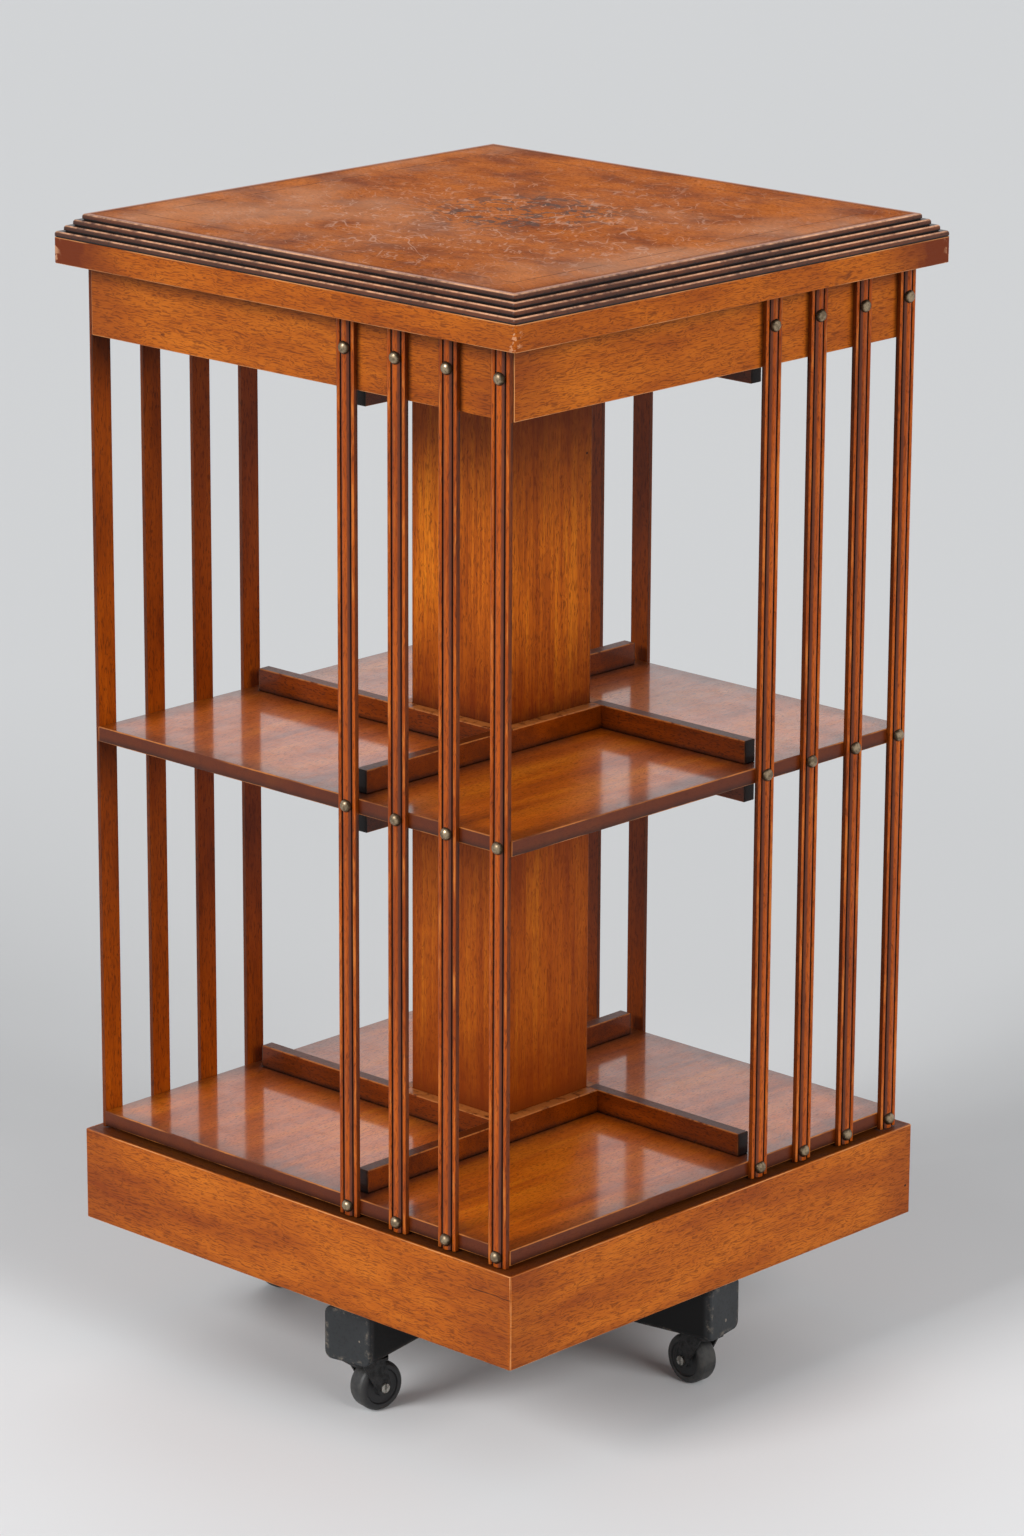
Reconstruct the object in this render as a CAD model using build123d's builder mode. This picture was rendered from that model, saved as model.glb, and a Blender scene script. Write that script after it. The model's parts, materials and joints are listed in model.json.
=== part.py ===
from build123d import *
import os

# Revolving bookcase with two tiers, slatted on half of each side. The case turns on a spindle
# that stands on a cross of two arms with four swivel casters. The origin is on the floor under
# the middle of the case. The front is -Y, and the sides follow anticlockwise from above.
SIDES = ("front", "right", "back", "left")

# Plan of the case
top_width = 480.0
body_width = 441.0
plinth_projection = 11.3
column_width = 98.0

# Boards of the case
fascia_height = 20.0
frieze_height = 55.4
frieze_thickness = 10.0
shelf_thickness = 12.0
plinth_height = 74.0
plinth_thickness = 20.0
column_wall = 12.0
soffit_recess = 3.4
board_corner = 2.5
fine_corner = 1.2
arris = 0.8

# Clear heights of the two tiers, and the shadow line between the plinth and the lowest shelf
lower_tier_height = 303.4
upper_tier_height = 308.4
shadow_gap = 2.6

# Reeded moulding round the top
reed_count = 4
reed_run = 4.925
reed_rise = 4.4
reed_nose = 2.2
quirk_depth = 0.8
quirk_height = 0.8

# Book stops: low boards set pinwheel fashion against the column, above and below each tier
stop_height = 18.2
stop_thickness = 11.0
stop_inset = 12.5

# Reeded slats
slats_per_side = 4
slat_width = 18.0
slat_thickness = 5.4
slat_pitch = 51.7
slat_corner_margin = 0.9
slat_foot_gap = 1.0
slat_reed_width = 8.4
slat_reed_crown = 2.2
slat_groove_width = 1.5
slat_groove_depth = 1.4
slat_bead_setback = 1.4
slat_bead_crown = 0.6

# Domed brass studs that hold the slats
stud_diameter = 10.0
stud_height = 4.6
shank_diameter = 2.2
shank_length = 13.0
shank_point = 3.0
frieze_stud_drop = 24.3

# Bearers and corner blocks inside the plinth
bearer_width = 50.0
bearer_height = 36.0
corner_block_width = 28.0
corner_block_rise = 6.0

# Fits
seat_clearance = 0.05
running_clearance = 0.06
end_clearance = 0.1
passage_clearance = 3.0

# Spindle, its flange and its two bearings
spindle_diameter = 25.0
spindle_bore = 18.0
journal_diameter = 16.0
shoulder_gap = 1.0
flange_diameter = 104.0
flange_thickness = 8.0
flange_boss_diameter = 46.0
flange_boss_height = 32.0
bush_diameter = 36.0
bush_collar_diameter = 46.0
bush_collar_thickness = 3.0
cup_diameter = 34.0
cup_depth = 26.0
cup_roof = 6.0
bearing_block_width = 84.0

# Bolts that hold the flange to the cross
bolt_diameter = 8.0
bolt_length = 40.0
bolt_head_width = 13.0
bolt_head_height = 5.3
bolt_circle_diameter = 76.0
bolt_hole_clearance = 0.4

# Cross stand, turned a little under the case
stand_turn = 10.0
arm_reach = 211.0
arm_width = 42.4
arm_height = 43.5
arm_rounding = 6.5
arm_end_easing = 1.6
case_clearance = 12.5

# Swivel casters; each trail heading is where the wheel lies from its stem, as found at rest
caster_radius = 195.0
trail_headings = (80.0, 177.0, 300.0, 238.0)
wheel_diameter = 40.0
wheel_width = 18.0
wheel_shoulder = 3.5
wheel_trail = 16.0
wheel_side_gap = 0.8
wheel_headroom = 2.0
dish_depth = 2.0
dish_inner_diameter = 15.0
dish_outer_diameter = 29.0
crown_thickness = 2.4
crown_reach = 10.0
crown_corner = 6.0
cheek_thickness = 2.0
cheek_boss_diameter = 13.0
axle_diameter = 6.0
axle_head_diameter = 7.5
axle_head_height = 1.6
axle_slot_width = 1.0
axle_slot_depth = 0.8
stem_diameter = 9.0
stem_length = 24.0
swivel_gap = 0.4
socket_diameter = 16.0
socket_depth = 28.0
socket_rim_diameter = 26.0
socket_rim_thickness = 1.2

# Heights above the floor, from the wheels upwards
crown_bottom = wheel_diameter + wheel_headroom
crown_top = crown_bottom + crown_thickness
socket_bottom = crown_top + swivel_gap
arm_bottom = socket_bottom + socket_rim_thickness
arm_top = arm_bottom + arm_height
plinth_bottom = arm_top + case_clearance
plinth_top = plinth_bottom + plinth_height
bottom_shelf_base = plinth_top + shadow_gap
bottom_shelf_top = bottom_shelf_base + shelf_thickness
mid_shelf_base = bottom_shelf_top + lower_tier_height
mid_shelf_top = mid_shelf_base + shelf_thickness
frieze_bottom = mid_shelf_top + upper_tier_height
frieze_top = frieze_bottom + frieze_height
soffit_base = frieze_bottom + soffit_recess
soffit_top = soffit_base + shelf_thickness
fascia_top = frieze_top + fascia_height
panel_height = reed_count * reed_rise
bearer_base = bottom_shelf_base - bearer_height

# Half widths and places that several pieces share
body_half = body_width / 2
plinth_width = body_width + 2 * plinth_projection
column_half = column_width / 2
panel_half = top_width / 2 - reed_count * reed_run
plinth_inside = plinth_width - 2 * plinth_thickness
frieze_inside = body_width - 2 * frieze_thickness
stop_reach = body_half - stop_inset
slat_face = body_half + slat_thickness
stud_seat = slat_face - slat_bead_setback
last_slat = body_half - slat_corner_margin - slat_width / 2
slat_places = [last_slat - slat_pitch * step for step in reversed(range(slats_per_side))]
stud_heights = (
    bottom_shelf_base + shelf_thickness / 2,
    mid_shelf_base + shelf_thickness / 2,
    frieze_top - frieze_stud_drop,
)
spindle_passage = spindle_diameter / 2 + passage_clearance
cheek_inside = wheel_width / 2 + wheel_side_gap
cheek_outside = cheek_inside + cheek_thickness
wheel_radius = wheel_diameter / 2

os.makedirs("parts", exist_ok=True)


def write(shape, label):
    """Label one finished piece and write its file."""
    shape.label = label
    export_step(shape, f"parts/{label}.step")


def group(pieces):
    """Pieces that touch but stay separate solids, for one shared node."""
    return Compound([solid for piece in pieces for solid in piece.solids()])


def heading(degrees):
    """Level unit vector, anticlockwise from +X."""
    return Vector(1, 0, 0).rotate(Axis.Z, degrees)


def side_plan(turn, height, along=0.0, out=0.0):
    """Level plane of a side: local x runs along the side, local -y points out of it."""
    origin = heading(90 * turn) * along + heading(90 * turn - 90) * out + Vector(0, 0, height)
    return Plane(origin, x_dir=heading(90 * turn), z_dir=(0, 0, 1))


def side_face(turn, out):
    """Upright plane of a side, so far out from the middle: local y is up."""
    outward = heading(90 * turn - 90)
    return Plane(outward * out, x_dir=heading(90 * turn), z_dir=outward)


def board_ring(base, height, width, thickness, corner):
    """A square frame of boards, not yet cut at its mitres, with eased outer edges."""
    inside = width - 2 * thickness
    with BuildPart() as ring:
        with BuildSketch(Plane.XY.offset(base)):
            RectangleRounded(width, width, corner)
        extrude(amount=height)
        fillet(ring.edges().filter_by(Axis.Z, reverse=True), arris)
        with BuildSketch(Plane.XY.offset(base)):
            Rectangle(inside, inside)
        extrude(amount=height, mode=Mode.SUBTRACT)
    return ring


def mitred_length(ring, turn, base, height, reach):
    """The length of a square ring that lies between the two mitres of one side."""
    with BuildPart() as length:
        add(ring.part)
        with BuildSketch(side_plan(turn, base)):
            Polygon((0, 0), (-reach, -reach), (reach, -reach), align=None)
        extrude(amount=height, mode=Mode.INTERSECT)
    return length


def drill_shanks(turn, heights, places):
    """Drill for the stud shanks, inwards from the face that the slats lie on."""
    with BuildSketch(side_face(turn, stud_seat)) as shanks:
        with Locations(*[(place, height) for height in heights for place in places]):
            Circle(shank_diameter / 2 + seat_clearance)
    extrude(shanks.sketch, amount=-shank_length - end_clearance, mode=Mode.SUBTRACT)


# Plinth: four mitred boards
plinth_ring = board_ring(plinth_bottom, plinth_height, plinth_width, plinth_thickness, board_corner)
for turn, side in enumerate(SIDES):
    plinth_board = mitred_length(plinth_ring, turn, plinth_bottom, plinth_height, plinth_width)
    write(plinth_board.part, f"plinth_{side}")


# Bearers: two lapped rails across the plinth that carry the shelf and the lower bush
def bearer(turn, notch_base):
    """One rail, halved where it crosses the other and bored for the bush."""
    with BuildPart() as rail:
        with BuildSketch(side_plan(turn, bearer_base)):
            Rectangle(plinth_inside, bearer_width)
        extrude(amount=bearer_height)
        with BuildSketch(side_plan(turn, notch_base)):
            Rectangle(bearer_width, bearer_width)
        extrude(amount=bearer_height / 2, mode=Mode.SUBTRACT)
        with BuildSketch(side_plan(turn, bearer_base)):
            Circle(bush_diameter / 2 + seat_clearance)
        extrude(amount=bearer_height, mode=Mode.SUBTRACT)
    return rail.part


plinth_bearers = group([bearer(0, bearer_base + bearer_height / 2), bearer(1, bearer_base)])
write(plinth_bearers, "plinth_bearers")


# Corner blocks inside the plinth
with BuildPart() as plinth_corner_blocks:
    block_place = plinth_inside - corner_block_width
    with BuildSketch(Plane.XY.offset(plinth_bottom + corner_block_rise)):
        with GridLocations(block_place, block_place, 2, 2):
            Rectangle(corner_block_width, corner_block_width)
    extrude(amount=bottom_shelf_base - plinth_bottom - corner_block_rise)
write(plinth_corner_blocks.part, "plinth_corner_blocks")


# Shelves
def shelf(base, hole):
    """A square shelf with eased edges; the hole is a sketch function."""
    with BuildPart() as board:
        with BuildSketch(Plane.XY.offset(base)):
            Rectangle(body_width, body_width)
        extrude(amount=shelf_thickness)
        fillet(board.edges().filter_by(Axis.Z, reverse=True), arris)
        with BuildSketch(Plane.XY.offset(base)):
            hole()
        extrude(amount=shelf_thickness, mode=Mode.SUBTRACT)
        for turn in range(len(SIDES)):
            drill_shanks(turn, [base + shelf_thickness / 2], slat_places)
    return board


bottom_shelf = shelf(bottom_shelf_base, lambda: Circle(spindle_passage))
write(bottom_shelf.part, "bottom_shelf")

mid_shelf = shelf(mid_shelf_base, lambda: Rectangle(column_width, column_width))
write(mid_shelf.part, "mid_shelf")


# Column: four mitred boards round the spindle, through the middle shelf
column_height = soffit_base - bottom_shelf_top
column_ring = board_ring(bottom_shelf_top, column_height, column_width, column_wall, fine_corner)
for turn, side in enumerate(SIDES):
    column_board = mitred_length(column_ring, turn, bottom_shelf_top, column_height, column_width)
    write(column_board.part, f"column_board_{side}")


# Book stops
def book_stop(turn, base):
    """A low board along one face of the column that butts against the next one."""
    with BuildPart() as stop:
        with BuildSketch(side_plan(turn, base)):
            with Locations((-stop_reach, -column_half)):
                Rectangle(stop_reach + column_half, stop_thickness, align=(Align.MIN, Align.MAX))
        extrude(amount=stop_height)
        fillet(stop.edges().filter_by(Axis.Z, reverse=True), arris)
    return stop.part


def tier_stops(floor, ceiling):
    """The stops on the floor and under the ceiling of one tier."""
    bases = (floor, ceiling - stop_height)
    return group([book_stop(turn, base) for base in bases for turn in range(len(SIDES))])


book_stops_lower = tier_stops(bottom_shelf_top, mid_shelf_base)
write(book_stops_lower, "book_stops_lower")

book_stops_upper = tier_stops(mid_shelf_top, soffit_base)
write(book_stops_upper, "book_stops_upper")


# Soffit board, inside the frieze
with BuildPart() as soffit_board:
    with BuildSketch(Plane.XY.offset(soffit_base)):
        Rectangle(frieze_inside, frieze_inside)
        Circle(spindle_passage, mode=Mode.SUBTRACT)
    extrude(amount=shelf_thickness)
write(soffit_board.part, "soffit_board")


# Frieze: four mitred boards
frieze_ring = board_ring(frieze_bottom, frieze_height, body_width, frieze_thickness, fine_corner)
for turn, side in enumerate(SIDES):
    frieze_board = mitred_length(frieze_ring, turn, frieze_bottom, frieze_height, body_width)
    with frieze_board:
        drill_shanks(turn, [frieze_top - frieze_stud_drop], slat_places)
    write(frieze_board.part, f"frieze_{side}")


# Top board, whose edge is the fascia
with BuildPart() as top_board:
    with BuildSketch(Plane.XY.offset(frieze_top)):
        RectangleRounded(top_width, top_width, board_corner)
    extrude(amount=fascia_height)
    fillet(top_board.faces().sort_by(Axis.Z)[0].edges(), arris)
write(top_board.part, "top_board")


# Reeded moulding: a stack of square rings with rounded noses, mitred into four lengths
with BuildPart() as moulding_ring:
    for reed in range(reed_count):
        reed_width = top_width - 2 * reed * reed_run
        reed_base = fascia_top + reed * reed_rise
        with BuildSketch(Plane.XY.offset(reed_base)):
            RectangleRounded(reed_width - 2 * quirk_depth, reed_width - 2 * quirk_depth, board_corner)
        extrude(amount=quirk_height)
        with BuildSketch(Plane.XY.offset(reed_base + quirk_height)):
            RectangleRounded(reed_width, reed_width, board_corner)
        extrude(amount=reed_rise - quirk_height)
        fillet(moulding_ring.faces().sort_by(Axis.Z)[-1].edges(), reed_nose)
    with BuildSketch(Plane.XY.offset(fascia_top)):
        Rectangle(2 * panel_half, 2 * panel_half)
    extrude(amount=panel_height, mode=Mode.SUBTRACT)


moulding_lengths = [
    mitred_length(moulding_ring, turn, fascia_top, panel_height, top_width).part
    for turn in range(len(SIDES))
]
top_moulding = group(moulding_lengths)
write(top_moulding, "top_moulding")


# Veneered panel inside the moulding
with BuildPart() as top_panel:
    with BuildSketch(Plane.XY.offset(fascia_top)):
        Rectangle(2 * panel_half, 2 * panel_half)
    extrude(amount=panel_height)
write(top_panel.part, "top_panel")


# Slats
def slat(turn, place):
    """One slat: flat back, a low bead at each edge, a full reed in the middle, and stud seats."""
    reed_half = slat_reed_width / 2
    reed_edge = slat_thickness - slat_reed_crown
    bead_inner = reed_half + slat_groove_width
    bead_middle = (bead_inner + slat_width / 2) / 2
    bead_top = slat_thickness - slat_bead_setback
    groove_floor = bead_top - slat_groove_depth
    shoulder = bead_top - slat_bead_crown
    with BuildPart() as strip:
        with BuildSketch(side_plan(turn, plinth_top + slat_foot_gap, place, body_half)):
            with BuildLine():
                for hand in (-1, 1):
                    Polyline(
                        (0, 0),
                        (hand * slat_width / 2, 0),
                        (hand * slat_width / 2, -shoulder),
                    )
                    ThreePointArc(
                        (hand * slat_width / 2, -shoulder),
                        (hand * bead_middle, -bead_top),
                        (hand * bead_inner, -shoulder),
                    )
                    Polyline(
                        (hand * bead_inner, -shoulder),
                        (hand * bead_inner, -groove_floor),
                        (hand * reed_half, -groove_floor),
                        (hand * reed_half, -reed_edge),
                    )
                ThreePointArc((-reed_half, -reed_edge), (0, -slat_thickness), (reed_half, -reed_edge))
            make_face()
        extrude(amount=frieze_top - plinth_top - slat_foot_gap)
        with BuildSketch(side_face(turn, stud_seat)):
            with Locations(*[(place, height) for height in stud_heights]):
                Circle(stud_diameter / 2 + seat_clearance)
        extrude(amount=slat_bead_setback, mode=Mode.SUBTRACT)
        drill_shanks(turn, stud_heights, [place])
    return strip.part


for turn, side in enumerate(SIDES):
    for number, place in enumerate(slat_places, start=1):
        write(slat(turn, place), f"slat_{side}_{number}")


# Brass studs: a domed head on a pointed shank
with BuildPart() as stud:
    with BuildSketch(Plane.XZ):
        with BuildLine():
            head_rim = (stud_diameter / 2, 0)
            Polyline(
                (0, stud_height),
                (0, -shank_length),
                (shank_diameter / 2, -shank_length + shank_point),
                (shank_diameter / 2, 0),
                head_rim,
            )
            dome_radius = (stud_diameter**2 / 4 + stud_height**2) / (2 * stud_height)
            RadiusArc(head_rim, (0, stud_height), -dome_radius)
        make_face()
    revolve(axis=Axis.Z)

with BuildPart() as brass_studs:
    for turn in range(len(SIDES)):
        with Locations(side_face(turn, stud_seat)):
            with Locations(*[(place, height) for height in stud_heights for place in slat_places]):
                add(stud.part)
write(brass_studs.part, "brass_studs")


# Bearing block under the top board, bored from below for the pivot cup
cup_height = cup_depth + cup_roof
with BuildPart() as bearing_block:
    with BuildSketch(Plane.XY.offset(soffit_top)):
        Rectangle(bearing_block_width, bearing_block_width)
    extrude(amount=frieze_top - soffit_top)
    with BuildSketch(Plane.XY.offset(soffit_top)):
        Circle(cup_diameter / 2 + seat_clearance)
    extrude(amount=cup_height, mode=Mode.SUBTRACT)
write(bearing_block.part, "bearing_block")


# Pivot cup: a blind brass bush that hangs the case on the spindle
with BuildPart() as pivot_cup:
    with BuildSketch(Plane.XY.offset(soffit_top)):
        Circle(cup_diameter / 2)
    extrude(amount=cup_height)
    with BuildSketch(Plane.XY.offset(soffit_top)):
        Circle(journal_diameter / 2 + running_clearance)
    extrude(amount=cup_depth, mode=Mode.SUBTRACT)
write(pivot_cup.part, "pivot_cup")


# Lower bush, collar down, in the crossing of the bearers
with BuildPart() as lower_bush:
    with BuildSketch(Plane.XY.offset(bearer_base)):
        Circle(bush_diameter / 2)
    extrude(amount=bearer_height)
    with BuildSketch(Plane.XY.offset(bearer_base - bush_collar_thickness)):
        Circle(bush_collar_diameter / 2)
    extrude(amount=bush_collar_thickness)
    with BuildSketch(Plane.XY.offset(bearer_base - bush_collar_thickness)):
        Circle(spindle_diameter / 2 + running_clearance)
    extrude(amount=bearer_height + bush_collar_thickness, mode=Mode.SUBTRACT)
write(lower_bush.part, "lower_bush")


# Spindle: a steel tube with a solid journal at its top
shoulder_height = soffit_top - shoulder_gap
journal_top = soffit_top + cup_depth - end_clearance
with BuildPart() as spindle:
    with BuildSketch(Plane.XY.offset(arm_top)):
        Circle(spindle_diameter / 2)
    extrude(amount=shoulder_height - arm_top)
    with BuildSketch(Plane.XY.offset(shoulder_height)):
        Circle(journal_diameter / 2)
    extrude(amount=journal_top - shoulder_height)
    fillet(spindle.faces().sort_by(Axis.Z)[-1].edges(), arris)
    with BuildSketch(Plane.XY.offset(arm_top)):
        Circle(spindle_bore / 2)
    extrude(amount=shoulder_height - arm_top - journal_diameter, mode=Mode.SUBTRACT)
write(spindle.part, "spindle")


# Places along the arms of the cross; the front arm comes first, as with the sides
arm_headings = [stand_turn + 90 * turn - 90 for turn in range(len(SIDES))]
caster_places = [heading(angle) * caster_radius for angle in arm_headings]
bolt_places = [heading(angle) * (bolt_circle_diameter / 2) for angle in arm_headings]


# Flange that holds the spindle upright on the cross
with BuildPart() as spindle_flange:
    with BuildSketch(Plane.XY.offset(arm_top)):
        Circle(flange_diameter / 2)
    extrude(amount=flange_thickness)
    with BuildSketch(Plane.XY.offset(arm_top + flange_thickness)):
        Circle(flange_boss_diameter / 2)
    extrude(amount=flange_boss_height)
    with BuildSketch(Plane.XY.offset(arm_top)):
        Circle(spindle_diameter / 2 + seat_clearance)
        with Locations(*bolt_places):
            Circle(bolt_diameter / 2 + bolt_hole_clearance)
    extrude(amount=flange_thickness + flange_boss_height, mode=Mode.SUBTRACT)
write(spindle_flange.part, "spindle_flange")


# Bolts through the flange into the arms
bolt_seat = arm_top + flange_thickness
with BuildPart() as flange_bolts:
    with BuildSketch(Plane.XY.offset(bolt_seat)):
        with Locations(*bolt_places):
            RegularPolygon(bolt_head_width / 2, 6, major_radius=False)
    extrude(amount=bolt_head_height)
    with BuildSketch(Plane.XY.offset(bolt_seat)):
        with Locations(*bolt_places):
            Circle(bolt_diameter / 2)
    extrude(amount=-bolt_length)
write(flange_bolts.part, "flange_bolts")


# Arms of the cross, halved over each other
def stand_arm(angle, notch_base):
    """A beam with rounded edges, notched for the other, bored for bolts and caster sockets."""
    along = Plane((0, 0, arm_bottom), x_dir=heading(angle), z_dir=(0, 0, 1))
    lift = notch_base - arm_bottom
    with BuildPart() as beam:
        with BuildSketch(along):
            Rectangle(2 * arm_reach, arm_width)
        extrude(amount=arm_height)
        fillet(beam.edges().group_by(SortBy.LENGTH)[-1], arm_rounding)
        ends = beam.faces().sort_by(Axis((0, 0, 0), heading(angle)))
        fillet(ends[0].edges() + ends[-1].edges(), arm_end_easing)
        with BuildSketch(along.offset(lift)):
            Rectangle(arm_width, arm_width)
        extrude(amount=arm_height / 2, mode=Mode.SUBTRACT)
        with BuildSketch(along):
            with Locations((-caster_radius, 0), (caster_radius, 0)):
                Circle(socket_diameter / 2 + seat_clearance)
        extrude(amount=socket_depth, mode=Mode.SUBTRACT)
        with BuildSketch(along.offset(arm_height)):
            with Locations((-bolt_circle_diameter / 2, 0), (bolt_circle_diameter / 2, 0)):
                Circle(bolt_diameter / 2 + seat_clearance)
        extrude(amount=-(bolt_length - flange_thickness), mode=Mode.SUBTRACT)
    return beam.part


write(stand_arm(arm_headings[1], arm_bottom + arm_height / 2), "stand_arm_lower")
write(stand_arm(arm_headings[2], arm_bottom), "stand_arm_upper")


# Caster sockets, let into the arms from below
with BuildPart() as caster_sockets:
    with BuildSketch(Plane.XY.offset(socket_bottom)):
        with Locations(*caster_places):
            Circle(socket_rim_diameter / 2)
    extrude(amount=socket_rim_thickness)
    with BuildSketch(Plane.XY.offset(arm_bottom)):
        with Locations(*caster_places):
            Circle(socket_diameter / 2)
    extrude(amount=socket_depth)
    with BuildSketch(Plane.XY.offset(socket_bottom)):
        with Locations(*caster_places):
            Circle(stem_diameter / 2 + running_clearance)
    extrude(amount=socket_rim_thickness + socket_depth, mode=Mode.SUBTRACT)
write(caster_sockets.part, "caster_sockets")


# Casters
def fork(place, trail):
    """Stem, crown and two tapering cheeks, folded round the wheel."""
    level = Plane(place, x_dir=trail, z_dir=(0, 0, 1))
    profile = Plane(place, x_dir=trail, z_dir=trail.rotate(Axis.Z, -90))
    crown_end = wheel_trail + cheek_boss_diameter / 2
    with BuildPart() as frame:
        with BuildSketch(level.offset(crown_bottom)):
            with Locations(((crown_end - crown_reach) / 2, 0)):
                RectangleRounded(crown_end + crown_reach, 2 * cheek_outside, crown_corner)
        extrude(amount=crown_thickness)
        with BuildSketch(level.offset(crown_top)):
            Circle(stem_diameter / 2)
        extrude(amount=stem_length)
        for hand in (-1, 1):
            with BuildSketch(profile.offset(hand * cheek_inside)):
                with BuildLine():
                    Line((crown_corner - crown_reach, crown_bottom), (crown_end - crown_corner, crown_bottom))
                    CenterArc((wheel_trail, wheel_radius), cheek_boss_diameter / 2, 0, 360)
                make_hull()
                with Locations((wheel_trail, wheel_radius)):
                    Circle(axle_diameter / 2 + seat_clearance, mode=Mode.SUBTRACT)
            extrude(amount=hand * cheek_thickness)
    return frame.part


def axle_plane(place, trail):
    """Plane through the wheel's centre: local x lies along the axle, local y is up."""
    centre = place + trail * wheel_trail + Vector(0, 0, wheel_radius)
    return Plane(centre, x_dir=trail.rotate(Axis.Z, 90), z_dir=trail)


def axle(place, trail):
    """A rivet with two slotted heads outside the cheeks."""
    centre = axle_plane(place, trail)
    across = Plane(centre.origin, x_dir=centre.y_dir, z_dir=centre.x_dir)
    with BuildPart() as pin:
        with BuildSketch(across):
            Circle(axle_diameter / 2)
        extrude(amount=cheek_outside, both=True)
        for hand in (-1, 1):
            with BuildSketch(across.offset(hand * cheek_outside)):
                Circle(axle_head_diameter / 2)
            extrude(amount=hand * axle_head_height)
            with BuildSketch(across.offset(hand * (cheek_outside + axle_head_height))):
                Rectangle(axle_head_diameter, axle_slot_width)
            extrude(amount=-hand * axle_slot_depth, mode=Mode.SUBTRACT)
    return pin.part


def wheel(place, trail):
    """A round-shouldered wheel with a dished face on each side."""
    centre = axle_plane(place, trail)
    with BuildPart() as roller:
        with BuildSketch(centre) as half_section:
            with Locations((0, wheel_radius / 2)):
                Rectangle(wheel_width, wheel_radius)
            fillet(half_section.vertices().group_by(Axis.Y)[-1], wheel_shoulder)
            dish_middle = (dish_inner_diameter + dish_outer_diameter) / 4
            dish_width = (dish_outer_diameter - dish_inner_diameter) / 2
            with Locations((-wheel_width / 2, dish_middle), (wheel_width / 2, dish_middle)):
                Rectangle(2 * dish_depth, dish_width, mode=Mode.SUBTRACT)
            bore_radius = axle_diameter / 2 + running_clearance
            with Locations((0, bore_radius / 2)):
                Rectangle(wheel_width, bore_radius, mode=Mode.SUBTRACT)
        revolve(axis=Axis(centre.origin, centre.x_dir))
    return roller.part


for number, (place, angle) in enumerate(zip(caster_places, trail_headings), start=1):
    trail = heading(angle)
    write(fork(place, trail), f"caster_fork_{number}")
    write(axle(place, trail), f"caster_axle_{number}")
    write(wheel(place, trail), f"caster_wheel_{number}")
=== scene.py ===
"""Revolving bookcase: finishes, small pieces, studio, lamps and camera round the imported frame."""

from __future__ import annotations

import json
import logging
import math
from dataclasses import dataclass, field
from enum import Enum
from typing import Sequence

import bpy
import numpy as np
from mathutils import Matrix, Vector

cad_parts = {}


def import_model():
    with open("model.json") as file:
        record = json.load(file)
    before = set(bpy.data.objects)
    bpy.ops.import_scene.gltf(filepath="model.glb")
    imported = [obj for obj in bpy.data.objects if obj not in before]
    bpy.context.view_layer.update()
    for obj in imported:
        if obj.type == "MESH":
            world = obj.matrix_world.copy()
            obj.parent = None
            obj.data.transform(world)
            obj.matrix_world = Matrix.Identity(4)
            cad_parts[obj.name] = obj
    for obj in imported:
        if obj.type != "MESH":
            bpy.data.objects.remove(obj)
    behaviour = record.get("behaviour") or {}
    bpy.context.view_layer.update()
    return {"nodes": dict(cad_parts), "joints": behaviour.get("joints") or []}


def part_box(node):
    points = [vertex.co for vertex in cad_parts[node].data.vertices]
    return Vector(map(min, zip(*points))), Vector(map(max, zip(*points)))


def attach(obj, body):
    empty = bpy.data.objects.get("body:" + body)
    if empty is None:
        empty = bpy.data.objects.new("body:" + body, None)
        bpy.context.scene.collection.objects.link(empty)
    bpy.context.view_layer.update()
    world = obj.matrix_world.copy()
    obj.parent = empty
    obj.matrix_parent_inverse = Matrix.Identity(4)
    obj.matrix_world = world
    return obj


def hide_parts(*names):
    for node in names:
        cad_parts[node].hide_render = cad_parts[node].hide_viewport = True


LOG = logging.getLogger("bookcase")
SIDES = ("front", "right", "back", "left")
MM = 0.001  # one millimetre, in metres

Colour = tuple[float, float, float, float]
Triple = tuple[float, float, float]
Pieces = list[bpy.types.Object]


class Run(Enum):
    """Which way the grain of a board runs, in the frame of its own side."""

    ALONG = "along the side"
    UPRIGHT = "upright"
    OUTWARDS = "out of the side"


def paint(code: str) -> Colour:
    """A colour written as six hexadecimal digits, as a linear colour.

    Args:
        code: the red, green and blue of the colour as it looks, such as "a2541c".

    Returns:
        Linear red, green and blue, and 1 for opaque.
    """
    values = [int(code[i : i + 2], 16) / 255 for i in (0, 2, 4)]
    linear = [v / 12.92 if v <= 0.04045 else ((v + 0.055) / 1.055) ** 2.4 for v in values]
    return (linear[0], linear[1], linear[2], 1.0)


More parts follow.
